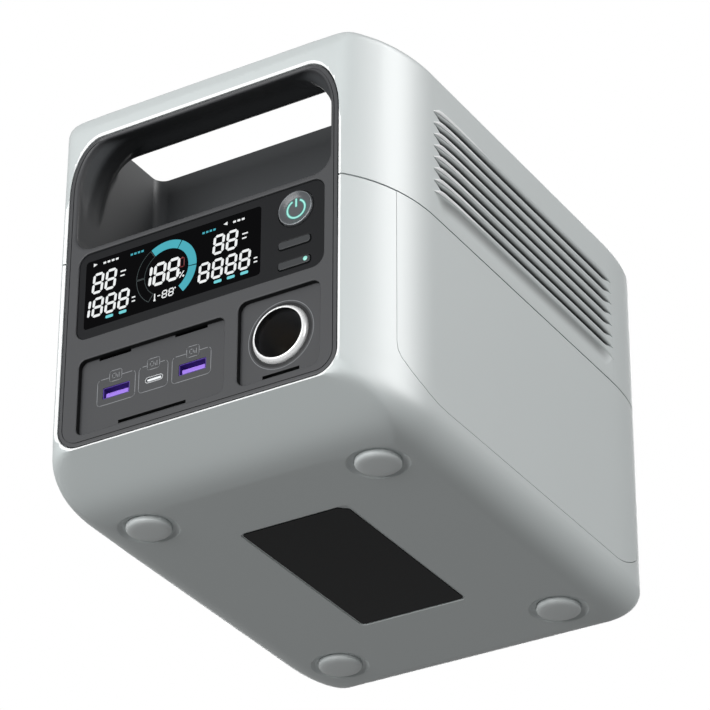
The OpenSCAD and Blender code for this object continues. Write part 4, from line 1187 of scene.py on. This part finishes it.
class STATION_OT_display(Operator):
    """Display bezel, window and its lit figures"""

    bl_idname = "station.display"
    bl_label = "Display"

    def execute(self, context):
        p = panel()
        half, low, high = p.bezel_width / 2, p.bezel_bottom, p.bezel_bottom + p.bezel_height
        bezel = slab(rounded(-half, half, low, high, 5.0), p.bezel_set, 4.4)
        round_edges(bezel, 0.3, 2, lambda e: near_front(e, p.bezel_set + 0.05))
        bezel = carve(bezel, [slab(rounded(*WINDOW, 1.5), 0, p.bezel_set + 1.0)])
        holes = [slab(circle(*POWER, 8.15), -1, 6)]
        holes += [slab(pill(z, 0.3), -1, 6) for z in (UPPER_Z, LOWER_Z)]
        bezel = carve(bezel, holes)
        round_edges(bezel, 0.3, 2, lambda e: near_front(e, p.bezel_set + 0.05) and middle(e).x > 35)
        finished("display_bezel_skin", bezel, [bezel_pc()], replaces=["display_bezel"])
        x0, x1, z0, z1 = WINDOW
        outline = rounded(x0 + 0.05, x1 - 0.05, z0 + 0.05, z1 - 0.05, 1.45)
        glass = slab(outline, p.bezel_set + 0.04, p.bezel_set + 1.0)
        finished(
            "display_glass", glass, [window_glass()], replaces=["display_window"]
        )
        self.figures(p.bezel_set + 0.04)
        return {"FINISHED"}

    def figures(self, face):
        """Digits, gauge, dashes and small marks, as films on the glass"""
        white = []
        for row in DIGIT_ROWS:
            white += number(*row)
        white += [bar(*place) for place in WHITE_BARS]
        white += [circle(x, z, r, 12) for x, z, r in WHITE_DOTS]
        white.append([(-9.3, 77.8), (-8.8, 77.8), (-6.9, 80.5), (-7.4, 80.5)])  # the percent sign's stroke
        white += arrow(-50.0, 96.2, 1) + arrow(12.0, 95.4, -1)
        white += dashes(-46.2, 96.0, 2.0, 4, 1.3) + dashes(15.6, 95.2, 2.0, 3, 1.3)
        teal = [sector(*GAUGE, start, end) for start, end in ((-55, -5), (-3, 60), (62, 122))]
        teal += dashes(-33.0, 95.6, 1.7, 4, 1.1) + dashes(1.2, 94.6, 1.7, 4, 1.1)
        pale = [rounded(x - 1.8, x + 1.8, 69.8, 71.1, 0.5, 3) for x in (-42.2, -35.8, 9.0, 15.1, 21.3)]
        dim = []
        for start, end in ((124, 179), (181, 235)):
            dim += outline_of(sector(*GAUGE, start, end), 0.28)
        red = outline_of(rounded(-8.9, -7.1, 82.6, 86.6, 0.4, 2), 0.35) + [bar(-8.4, 86.7, 0.8, 0.4)]
        # The lit films are flat and saturated against the black glass. The unlit one is only just paler
        films = {
            "white": (white, lit("Backlit film, white", "#F2F5F5", 0.95)),
            "teal": (teal, lit("Backlit film, teal", finishes().teal, 0.95)),
            "pale": (pale, lit("Backlit film, pale teal", "#62D2DA", 0.95)),
            "dim": (dim, lit("Unlit film, dark teal", "#0D2A2C", 0.6)),
            "red": (red, lit("Backlit film, dark red", "#7A1416", 0.8)),
        }
        for tone, (outlines, film) in films.items():
            layer = join(*[slab(points, face - 0.05, face) for points in outlines])
            finished(f"display_figures_{tone}", layer, [film], smooth=30)


def bar(x, z, w, h):
    """Plain rectangle"""
    return [(x, z), (x + w, z), (x + w, z + h), (x, z + h)]


def dashes(x, z, pitch, count, w):
    """Row of equal dashes"""
    return [bar(x + i * pitch, z, w, 0.9) for i in range(count)]


def arrow(x, z, way):
    """Small arrow head that points in or out"""
    return [[(x - way * 0.9, z - 0.2), (x + way * 0.9, z + 0.6), (x - way * 0.9, z + 1.4)]]


def sector(cx, cz, inner, outer, start, end, steps=18):
    """Part of a ring between two angles"""
    angles = [math.radians(start + (end - start) * i / steps) for i in range(steps + 1)]
    rim = [(cx + outer * math.cos(a), cz + outer * math.sin(a)) for a in angles]
    return rim + [(cx + inner * math.cos(a), cz + inner * math.sin(a)) for a in reversed(angles)]


def outline_of(points, width):
    """Thin strokes along a closed outline"""
    strokes = []
    for (x0, z0), (x1, z1) in zip(points, points[1:] + points[:1]):
        length = math.hypot(x1 - x0, z1 - z0)
        if length < 1e-4:
            continue
        ux, uz = (x1 - x0) / length, (z1 - z0) / length
        nx, nz = -uz * width / 2, ux * width / 2
        over = width * 0.3  # how far a stroke runs past its ends, to close the corners
        ax, az = x0 - ux * over, z0 - uz * over
        bx, bz = x1 + ux * over, z1 + uz * over
        strokes.append([(ax + nx, az + nz), (ax - nx, az - nz), (bx - nx, bz - nz), (bx + nx, bz + nz)])
    return strokes


SEGMENTS = {"8": "abcdefg", "1": "bc"}


def number(x, z, w, h, pitch, digits, stroke):
    """Seven-segment digits, leaning slightly to the right"""
    lean = 0.09
    gap = stroke * 0.14
    reach = stroke / 2  # from a segment's middle line to its edge
    middle_z = h / 2
    level = {"a": h - reach, "g": middle_z, "d": reach}
    outlines = []
    for i, digit in enumerate(digits):
        left = x + i * pitch
        for name in SEGMENTS[digit]:
            if name in level:
                start, end, at = gap + reach, w - gap - reach, level[name]
            else:
                start, end = (middle_z, h - reach) if name in "bf" else (reach, middle_z)
                start, end, at = start + gap, end - gap, reach if name in "ef" else w - reach
            # A bar with pointed ends, as (along, across)
            shape = [(start, at), (start + reach, at + reach), (end - reach, at + reach)]
            shape += [(end, at), (end - reach, at - reach), (start + reach, at - reach)]
            if name not in level:
                shape = [(across, along) for along, across in shape]
            outlines.append([(left + px + lean * pz, z + pz) for px, pz in shape])
    return outlines


def pill(z, grow):
    """Outline of a flat button, with small round corners"""
    x0, x1 = PILL_X - PILL_W / 2 - grow, PILL_X + PILL_W / 2 + grow
    return rounded(x0, x1, z - PILL_H / 2 - grow, z + PILL_H / 2 + grow, 1.2 + grow)


class STATION_OT_buttons(Operator):
    """Power button with its lit symbol, and the two flat buttons"""

    bl_idname = "station.buttons"
    bl_label = "Buttons"

    def execute(self, context):
        x, z = POWER
        centre = (x, FRONT, BASE + z)
        # Satin ABS: a soft highlight that shows the cap's shallow dish
        cap_grey = surface(
            "ABS, satin, button cap", "#4A4D50", 0.3, grain=0.4, relief=0.003, **{SHEEN: 0.5}
        )
        # Plated over a dull surface: a thin pale line round the cap
        edge_silver = surface(
            "Electroplated rim, satin silver", "#84878A", 0.55, grain=0.5, relief=0.001, metallic=1.0
        )
        cap = [
            (0.0, 1.3), (4.8, 1.32), (5.2, 1.27), (6.0, 0.9), (6.7, 0.48), (7.05, 0.3), (7.05, 5.0),
            (0.0, 5.0)
        ]
        rim = [
            (7.1, 0.32), (7.25, 0.18), (7.45, 0.25), (7.8, 0.9), (7.8, 4.2), (9.3, 4.2), (9.3, 5.2),
            (7.1, 5.2)
        ]
        plunger = [(0.0, 4.8), (1.4, 4.8), (1.4, 6.2), (0.0, 6.2)]
        whole = join(lathe(cap, centre, "Y", 96), lathe(plunger, centre, "Y", 24))
        finished("power_button_cap", whole, [cap_grey], "power_button", ["power_button"])
        rim = lathe(rim, centre, "Y", 96)
        finished("power_button_rim", rim, [edge_silver], "power_button", ())
        # The ring's two radii and two angles, then the bar's half width, two heights and corners
        mark = self.symbol((3.65, 4.35, 115, 425), (0.36, 0.9, 4.7, 0.35), 1.2)
        halo = self.symbol((3.35, 4.65, 112, 428), (0.62, 0.65, 4.95, 0.6), 1.24)
        # Clear pipes lit from behind: the mark is bright mint, and its edge glows darker into the cap
        mint = lit("Light pipe, mint", finishes().mint, 0.95)
        glow = lit("Light pipe, edge glow", "#2C837B", 0.8)
        finished("power_symbol_light", mark, [mint], "power_button", ["power_symbol"])
        finished("power_symbol_glow", halo, [glow], "power_button", ())
        # Fine etched ABS: flat and dull beside the dished cap
        flat_grey = surface(
            "ABS, etched, flat button", "#303234", 0.45, grain=0.45, relief=0.004, **{SHEEN: 0.3}
        )
        for name, height in (("upper_button", UPPER_Z), ("lower_button", LOWER_Z)):
            key = slab(pill(height, 0.0), 0.5, 5.0)
            round_edges(key, 0.35, 2, lambda e: near_front(e, 0.55))
            skirt = slab(pill(height, 0.8), 4.75, 5.7)
            stem = [(0.0, 5.6), (1.4, 5.6), (1.4, 6.2), (0.0, 6.2)]
            stem = lathe(stem, (PILL_X, FRONT, BASE + height), "Y", 24)
            if name == "lower_button":
                key = carve(key, [slab(circle(LAMP_X, LAMP_Z, 1.05, 24), -1, 3)])
            finished(f"{name}_key", join(key, skirt, stem), [flat_grey], name, [name])
        lens = [(0.0, 0.35), (0.5, 0.4), (0.95, 0.6), (0.95, 2.9), (0.0, 2.9)]
        lens = lathe(lens, (LAMP_X, FRONT, BASE + LAMP_Z), "Y", 32)
        finished("lower_button_lens", lens, [mint], "lower_button", ["lower_button_light"])
        return {"FINISHED"}

    @staticmethod
    def symbol(ring, stem, face):
        """Open ring and upright bar, from a depth down to 1.5 mm"""
        x, z = POWER
        half, low, high, r = stem
        arc = slab(sector(x, z, *ring, 48), face, 1.5)
        return join(arc, slab(rounded(x - half, x + half, z + low, z + high, r), face, 1.5))


class STATION_OT_port_plates(Operator):
    """Plates behind the two lower openings, with their slots and printed frames"""

    bl_idname = "station.port_plates"
    bl_label = "Port plates"

    def execute(self, context):
        # Painted shade: the panel's etched ABS, a shade darker because it lies deeper
        grey = surface(
            "ABS, etched, socket plates, painted shade", "#3A3B3D", 0.5,
            grain=0.45, relief=0.006, mottle=0.03, **{SHEEN: 0.4}
        )
        x0, x1, z0, z1 = USB_OPENING
        plate = slab(rounded(x0 - 1.4, x1 + 1.4, z0 - 1.4, z1 + 1.4, 4), PLATE_BACK, 4.9)
        holes = [slab(rounded(x - 6.3, x + 6.3, USB_Z - 2.5, USB_Z + 2.5, 0.3, 2), 0, 6) for x in USB_A_X]
        holes += [slab(rounded(USB_C_X - 4.35, USB_C_X + 4.35, USB_Z - 1.5, USB_Z + 1.5, 1.48), 0, 6)]
        slots = (
            bar(-47.3, z1 - 1.1, 15.1, 1.5), bar(-11.4, z1 - 1.1, 15.1, 1.5), bar(-37.1, 21.0, 31.5, 1.5)
        )
        holes += [slab(slot, 0, 6) for slot in slots]
        plate = carve(plate, [join(*holes)])

        def mouth(edge):
            """Edges round the three ports"""
            return near_front(edge, PLATE_BACK + 0.02) and abs(middle(edge).z - BASE - USB_Z) < 4

        round_edges(plate, 0.25, 2, mouth)
        finished(
            "usb_plate_skin", plate, [grey, recess_shade_black()], replaces=["usb_plate"],
            choose=self.sides
        )
        cx, cz = SOCKET
        x0, x1, z0, z1 = SOCKET_OPENING
        plate = slab(rounded(x0 - 1.4, x1 + 1.4, z0 - 1.4, z1 + 1.4, 4), PLATE_BACK, 4.9)
        holes = [slab(circle(cx, cz, 11.85), 0, 6), slab(bar(29.4, 20.8, 16.6, 1.5), 0, 6)]
        plate = carve(plate, holes)
        finished(
            "socket_plate_skin", plate, [grey, recess_shade_black()], replaces=["socket_plate"],
            choose=self.sides
        )
        # Thin matt ink: pale lines with no relief
        print_grey = surface("Pad print, light grey", "#7D7F82", 0.6, grain=0.6, relief=0.0)
        line = 0.3  # width of the printed lines
        strokes = outline_of(circle(cx, cz, 14.7, 96), 0.28)
        # Each port's frame: left, right, bottom, top, and the middle of the tag on its upper edge
        frames = (
            (-47.6, -29.7, 31.2, 43.0, -39.15),
            (-28.0, -14.4, 31.6, 43.1, -21.3),
            (-12.4, 5.6, 31.2, 43.0, -2.9),
        )
        for left, right, low, high, tag in frames:
            around = outline_of(rounded(left, right, low, high, 1.6, 5), line)
            strokes += [stroke for stroke in around if sum(z for _, z in stroke) / 4 <= high - line]
            tag_left, tag_right = tag - 2.9, tag + 2.9
            strokes += outline_of(rounded(tag_left, tag_right, 41.0, 45.8, 1.0, 4), line)
            strokes.append(bar(left + 1.6, high - 0.15, tag_left - left - 1.6, line))
            strokes.append(bar(tag_right, high - 0.15, right - 1.6 - tag_right, line))
            strokes += outline_of(rounded(tag - 1.5, tag + 0.2, 42.4, 44.4, 0.3, 2), line)
            strokes += [bar(tag + 0.8, 42.2, line, 1.2), bar(tag + 1.5, 42.2, line, 2.2)]
        prints = join(*[slab(points, PLATE_BACK - 0.02, PLATE_BACK + 0.01) for points in strokes])
        finished("port_frames_print", prints, [print_grey], smooth=30)
        return {"FINISHED"}

    @staticmethod
    def sides(face):
        """Sides in painted shade, grey face"""
        return 1 if abs(face.normal.y) < 0.3 else 0


class STATION_OT_ports(Operator):
    """USB shells and carriers, and the round socket's lining and ring"""

    bl_idname = "station.ports"
    bl_label = "Ports"

    def execute(self, context):
        # Purple nylon in two tones: deep violet on the linings as painted shade, and paler lilac on the
        # tongues inside as a painted highlight
        purple = surface("Nylon, moulded, purple, painted shade", finishes().tongue, 0.4, grain=0.5, relief=0.003)
        lilac_highlight = surface("Nylon, moulded, lilac, painted highlight", "#9570DC", 0.35, grain=0.5, relief=0.003)
        shells, tongues = [], []
        for x in USB_A_X:
            outer = rounded(x - 6.25, x + 6.25, USB_Z - 2.45, USB_Z + 2.45, 0.5, 3)
            inner = rounded(x - 5.95, x + 5.95, USB_Z - 2.15, USB_Z + 2.15, 0.25, 2)
            shells.append(carve(slab(outer, PLATE_BACK + 0.25, 16), [slab(inner, 0, 15)]))
            tongue = rounded(x - 5.3, x + 5.3, USB_Z - 1.65, USB_Z + 0.25, 0.2, 2)
            tongue = slab(tongue, PLATE_BACK + 0.9, 15)
            round_edges(tongue, 0.25, 2, lambda e: near_front(e, PLATE_BACK + 0.95))
            tongues.append(tongue)
            tongues.append(slab(rounded(x - 5.9, x + 5.9, USB_Z - 2.1, USB_Z + 2.1, 0.2, 2), 9, 15.2))
        finished(
            "usb_a_shells_skin", join(*shells), [purple], replaces=["usb_a_shells"]
        )
        finished(
            "usb_a_carriers", join(*tongues), [lilac_highlight], replaces=["usb_a_tongues"]
        )
        x = USB_C_X
        outer = slab(rounded(x - 4.25, x + 4.25, USB_Z - 1.4, USB_Z + 1.4, 1.38, 8), PLATE_BACK + 0.1, 12)
        shell = carve(outer, [slab(rounded(x - 3.85, x + 3.85, USB_Z - 1.0, USB_Z + 1.0, 0.98, 8), 0, 11)])
        finished("usb_c_shell_skin", shell, [nickel()], replaces=["usb_c_shell"])
        tongue = slab(rounded(x - 3.2, x + 3.2, USB_Z - 0.45, USB_Z + 0.45, 0.3, 3), PLATE_BACK + 0.3, 11)
        # White nylon: a bright bar in the narrow mouth
        white = surface("Nylon, moulded, white", "#E9ECEE", 0.4, grain=0.5, relief=0.002)
        finished("usb_c_carrier", tongue, [white], replaces=["usb_c_tongue"])
        cx, cz = SOCKET
        centre = (cx, FRONT + PLATE_BACK, BASE + cz)
        sleeve = [(10.55, 1.0), (10.55, -2.14), (10.6, -2.16), (10.6, 1.0)]
        # Painted shadow: a thin black collar on the plate round the ring
        shadow_collar = [(12.5, 0.02), (12.5, -0.06), (13.8, -0.04), (13.95, 0.02)]
        lining = join(lathe(sleeve, centre, "Y", 96), lathe(shadow_collar, centre, "Y", 96))
        # Phenolic: nearly black and half matt. On the collar it is a painted shadow round the ring, so it
        # frames the bright ring
        black = surface(
            "Phenolic, socket lining and painted shadow", "#18191B", 0.45, grain=0.6, relief=0.003, **{SHEEN: 0.3}
        )
        finished("socket_lining_and_shadow", lining, [black])
        # The ring's section: bore, rounded lip, flank, and its seat in the plate
        ring = [(10.62, 0.9), (10.62, -2.12), (10.72, -2.25), (10.95, -2.3), (11.25, -2.2), (11.6, -1.85)]
        ring += [(12.1, -1.15), (12.45, -0.5), (12.5, -0.01), (11.9, -0.01), (11.7, 0.9)]
        ring = lathe(ring, centre, "Y", 128)
        finished("socket_ring_skin", ring, [chrome_painted_reflection()], replaces=["socket_ring"])
        return {"FINISHED"}


class STATION_OT_base(Operator):
    """Feet and the blank plate under the housing"""

    bl_idname = "station.base"
    bl_label = "Base"

    def execute(self, context):
        # Grey rubber, a little paler than the shell, with a soft highlight round its edge
        grey = surface("Rubber, moulded, grey", "#D2D7D7", 0.42, grain=0.6, relief=0.006, mottle=0.02)
        profile = [
            (0.0, 0.0), (5.6, 0.02), (7.6, 0.18), (8.7, 0.55), (9.2, 1.05), (9.3, 1.5), (9.3, 2.75),
            (0.0, 2.75)
        ]
        feet = [lathe(profile, (x, FRONT + y, 0.0), "Z", 64) for x in (-FOOT_X, FOOT_X) for y in FOOT_Y]
        finished("feet_pads", join(*feet), [grey], replaces=["feet"])
        gap = 0.25  # between the film and its recess
        x0, x1, y0, y1 = LABEL[0] + gap, LABEL[1] - gap, LABEL[2] + gap, LABEL[3] - gap
        outline = [(x, y) for x, y in rounded(x0, x1, y0, y1, 1.6) if x < x1 - 2 or y > y0 + 2]
        outline = [(x1 - 4.2, y0), (x1 - 0.4, y0 + 3.2), *outline]  # its fourth corner is cut off
        plate = slab_between([(x, FRONT + y, BASE + 0.12) for x, y in outline], (0, 0, 0.36))
        # Matt film, left blank: a flat black with almost no highlight
        black = surface(
            "Polyester film, matt black", "#0B0C0D", 0.5, grain=0.6, relief=0.002, **{SHEEN: 0.08}
        )
        finished("label_film", plate, [black], replaces=["label_plate"])
        return {"FINISHED"}


# Finishes of the carried parts: name, colour, roughness and settings, and what they give the eye
METAL = {"metallic": 1.0}
INNER = {
    "board_green": ("Glass-fibre board, green mask", "#1E5A3C", 0.4, {}),  # even, with a half gloss
    "board_blue": ("Glass-fibre board, blue mask", "#1C4C78", 0.4, {}),  # the same, in blue
    "switch_black": ("Nylon, moulded, black", "#1A1B1D", 0.5, {}),  # dull black
    "display_body": ("Acrylic light guide, frosted", "#D8DADB", 0.45, {}),  # milky and soft
    "socket_black": ("Phenolic, moulded, black", "#4A4B4E", 0.4, {}),  # dark grey, half gloss
    "insulator": ("Laminate, cream", "#D6CFBE", 0.55, {}),  # warm and matt
    "brass_contact": ("Brass, turned", "#C39A55", 0.25, METAL),  # yellow, with a fairly sharp reflection
    "spring_steel": ("Steel, drawn wire", "#A9ACAF", 0.3, METAL),  # grey lines of light along the wire
    "cell_sleeve": ("PVC shrink sleeve, blue", "#2C6DB2", 0.35, {}),  # glossy and strong in colour
    "holder_black": ("ABS, moulded, cell holder", "#26282A", 0.5, {}),  # dull dark grey
    "nickel_strip": ("Nickel strip, rolled", "#BFC2C4", 0.32, METAL),  # pale satin metal
    "frame_black": ("ABS, moulded, inner frame", "#2C2F31", 0.5, {}),  # dull dark grey
    "cap_sleeve": ("PVC shrink sleeve, dark", "#1F2229", 0.35, {}),  # glossy, blue-black
    "copper": ("Copper wire, enamelled", "#B8703A", 0.3, METAL),  # red-brown metal under a gloss
    "sink_alu": ("Aluminium, extruded", "#AEB2B5", 0.38, {**METAL, "stretch": (1, 0.05, 1)}),  # drawn lines
    "fan_black": ("Polyamide, moulded, fan", "#18191B", 0.5, {}),  # dull black
    "zinc_steel": ("Steel, zinc-plated", "#9EA1A3", 0.35, METAL),  # cool grey, slightly cloudy
    "lead_red": ("Silicone insulation, red", "#9E2525", 0.5, {}),  # matt red
    "ribbon_white": ("Polyester ribbon, white", "#D5D7D9", 0.5, {}),  # plain white
    "plated_steel": ("Steel, nickel-plated", "#B9BCBE", 0.3, METAL),  # warm grey satin metal
}


class STATION_OT_inner_parts(Operator):
    """Finishes for the carried parts inside the housing"""

    bl_idname = "station.inner_parts"
    bl_label = "Inner parts"

    def execute(self, context):
        slots = {row["node"]: row["material_slot"] for row in frame["record"]["subparts"]}
        for name, piece in frame["nodes"].items():
            if piece.hide_render:
                continue
            if slots[name] not in INNER:
                raise RuntimeError(f"no finish for {name}")
            title, code, roughness, extra = INNER[slots[name]]
            material = surface(title, code, roughness, grain=0.6, relief=0.003, **extra)
            for place in piece.material_slots:
                place.material = material
        return {"FINISHED"}


# ---------------------------------------------------------------- stage


def direction(azimuth, elevation):
    """Unit vector from the object towards a place at these angles in degrees"""
    a, e = math.radians(azimuth), math.radians(elevation)
    return Vector((math.sin(a) * math.cos(e), -math.cos(a) * math.cos(e), math.sin(e)))


def lamp(name, azimuth, elevation, distance, width, height, power, aim):
    """Area lamp that faces a point from a direction; azimuth 0 is in front and 90 at the right"""
    back = direction(azimuth, elevation)
    light = bpy.data.lights.new(name, "AREA")
    light.shape = "RECTANGLE"
    light.size = width
    light.size_y = height
    light.energy = power
    made = bpy.data.objects.new(name, light)
    made.location = aim + back * distance
    made.rotation_euler = back.to_track_quat("Z", "Y").to_euler()
    bpy.context.scene.collection.objects.link(made)
    return made


class STATION_OT_stage(Operator):
    """Floor, backdrop light, lamps and camera"""

    bl_idname = "station.stage"
    bl_label = "Stage"

    def execute(self, context):
        scene = context.scene
        scene.view_settings.view_transform = "Standard"
        self.world(scene)
        self.floor(scene)
        aim = Vector((0.0, 0.0, 0.085))  # the object's middle
        # Azimuth, elevation, then distance, width and height in metres, and power in watts
        lamp("front softbox", -8, -3, 1.7, 1.5, 1.2, 33.0, aim)
        lamp("right fill", 86, 12, 1.8, 0.9, 1.2, 17.0, aim)
        lamp("rear fill", 205, 25, 1.8, 1.2, 1.0, 13.0, aim)
        strip = lamp("corner strip", 108, 30, 1.6, 0.5, 1.8, 44.0, aim)
        strip.visible_diffuse = False  # it only draws a highlight along the rounded corners
        self.camera(scene)
        return {"FINISHED"}

    def world(self, scene):
        """White to the camera and through glass, half as bright in reflections, and faint as a light"""
        world = bpy.data.worlds.new("studio")
        world.use_nodes = True
        scene.world = world
        tree = world.node_tree
        tree.nodes.clear()
        path = add(tree, "ShaderNodeLightPath").outputs
        larger = {"operation": "MAXIMUM"}
        direct = {0: path["Is Camera Ray"], 1: path["Is Transmission Ray"]}
        seen = add(tree, "ShaderNodeMath", larger, links=direct)
        glossy, light = 0.4, 0.15  # what reflections see beyond the light, and the light itself
        scaled = {"operation": "MULTIPLY_ADD"}
        mirrored = add(tree, "ShaderNodeMath", scaled, {1: glossy, 2: light}, {0: path["Is Glossy Ray"]})
        strength = add(tree, "ShaderNodeMath", larger, links={0: seen.outputs[0], 1: mirrored.outputs[0]})
        white = {"Color": (1, 1, 1, 1)}
        white = add(tree, "ShaderNodeBackground", values=white, links={"Strength": strength.outputs[0]})
        add(tree, "ShaderNodeOutputWorld", links={"Surface": white.outputs[0]})

    def floor(self, scene):
        """Pale floor that glows towards white far away; it can't be seen from below"""
        material, tree = new_material("studio floor")
        path = add(tree, "ShaderNodeLightPath")
        side = add(tree, "ShaderNodeNewGeometry")
        less = {"operation": "SUBTRACT"}
        front = add(tree, "ShaderNodeMath", less, {0: 1.0}, {1: side.outputs["Backfacing"]})
        from_above = {0: path.outputs["Is Camera Ray"], 1: front.outputs[0]}
        seen = add(tree, "ShaderNodeMath", {"operation": "MULTIPLY"}, links=from_above)
        clear = add(tree, "ShaderNodeBsdfTransparent")
        paint = add(tree, "ShaderNodeBsdfDiffuse", values={"Color": (0.82, 0.82, 0.82, 1)})
        place = add(tree, "ShaderNodeTexCoord").outputs["Object"]
        away = add(tree, "ShaderNodeVectorMath", {"operation": "LENGTH"}, links={0: place})
        limits = {"From Min": 0.3, "From Max": 1.6, "To Min": 0.45, "To Max": 0.85}  # metres, and strengths
        fade = add(tree, "ShaderNodeMapRange", values=limits, links={"Value": away.outputs["Value"]})
        white = {"Color": (1, 1, 1, 1)}
        glow = add(tree, "ShaderNodeEmission", values=white, links={"Strength": fade.outputs["Result"]})
        pale = add(tree, "ShaderNodeAddShader", links={0: paint.outputs[0], 1: glow.outputs[0]})
        ends = {0: seen.outputs[0], 1: clear.outputs[0], 2: pale.outputs[0]}
        both = add(tree, "ShaderNodeMixShader", links=ends)
        add(tree, "ShaderNodeOutputMaterial", links={"Surface": both.outputs[0]})
        bm = bmesh.new()
        bmesh.ops.create_grid(bm, x_segments=1, y_segments=1, size=3.0)
        mesh = bpy.data.meshes.new("floor")
        bm.to_mesh(mesh)
        bm.free()
        mesh.materials.append(material)
        floor = bpy.data.objects.new("floor", mesh)
        scene.collection.objects.link(floor)

    def camera(self, scene):
        """Camera before the object, below it and to its right"""
        back = direction(31.154, -30.513)
        roll = math.radians(0.195)
        right = Vector((0, 0, 1)).cross(back).normalized()
        up = back.cross(right)
        turned_right = right * math.cos(roll) + up * math.sin(roll)
        turned_up = up * math.cos(roll) - right * math.sin(roll)
        # Millimetres from the middle of the front plane's lower edge
        place = Vector((658.5, -968.2 + FRONT, -649.9 + BASE)) * MM
        data = bpy.data.cameras.new("camera")
        data.sensor_width = 36.0
        data.lens = 178.13
        data.shift_x = -0.0027
        data.shift_y = 0.0010
        data.clip_start = 0.05
        data.clip_end = 20.0
        camera = bpy.data.objects.new("camera", data)
        camera.matrix_world = Matrix(
            (
                (turned_right.x, turned_up.x, back.x, place.x),
                (turned_right.y, turned_up.y, back.y, place.y),
                (turned_right.z, turned_up.z, back.z, place.z),
                (0, 0, 0, 1),
            )
        )
        scene.collection.objects.link(camera)
        scene.camera = camera


OPERATORS = (
    STATION_OT_top_shell,
    STATION_OT_lower_shell,
    STATION_OT_side_panels,
    STATION_OT_front_panel,
    STATION_OT_carry_liner,
    STATION_OT_display,
    STATION_OT_buttons,
    STATION_OT_port_plates,
    STATION_OT_ports,
    STATION_OT_base,
    STATION_OT_inner_parts,
    STATION_OT_stage,
)


class STATION_PT_sidebar(Panel):
    """Lists the pieces and the sizes they are made from"""

    bl_idname = "STATION_PT_sidebar"
    bl_label = "Power Station"
    bl_space_type = "VIEW_3D"
    bl_region_type = "UI"
    bl_category = "Power Station"

    def draw(self, context):
        scene = context.scene
        for group in (scene.station_housing, scene.station_panel, scene.station_finishes):
            part = self.layout.box()
            for name in user_names(group):
                part.prop(group, name)
        for operator in OPERATORS:
            self.layout.operator(operator.bl_idname)


CLASSES = (HousingSizes, PanelSizes, Finishes, *OPERATORS, STATION_PT_sidebar)


def register():
    for cls in CLASSES:
        bpy.utils.register_class(cls)
    bpy.types.Scene.station_housing = PointerProperty(type=HousingSizes)
    bpy.types.Scene.station_panel = PointerProperty(type=PanelSizes)
    bpy.types.Scene.station_finishes = PointerProperty(type=Finishes)


def unregister():
    del bpy.types.Scene.station_finishes
    del bpy.types.Scene.station_panel
    del bpy.types.Scene.station_housing
    for cls in reversed(CLASSES):
        bpy.utils.unregister_class(cls)


def main():
    """Builds everything"""
    register()
    for operator in OPERATORS:
        group, name = operator.bl_idname.split(".")
        getattr(getattr(bpy.ops, group), name)()


if __name__ == "__main__":
    main()
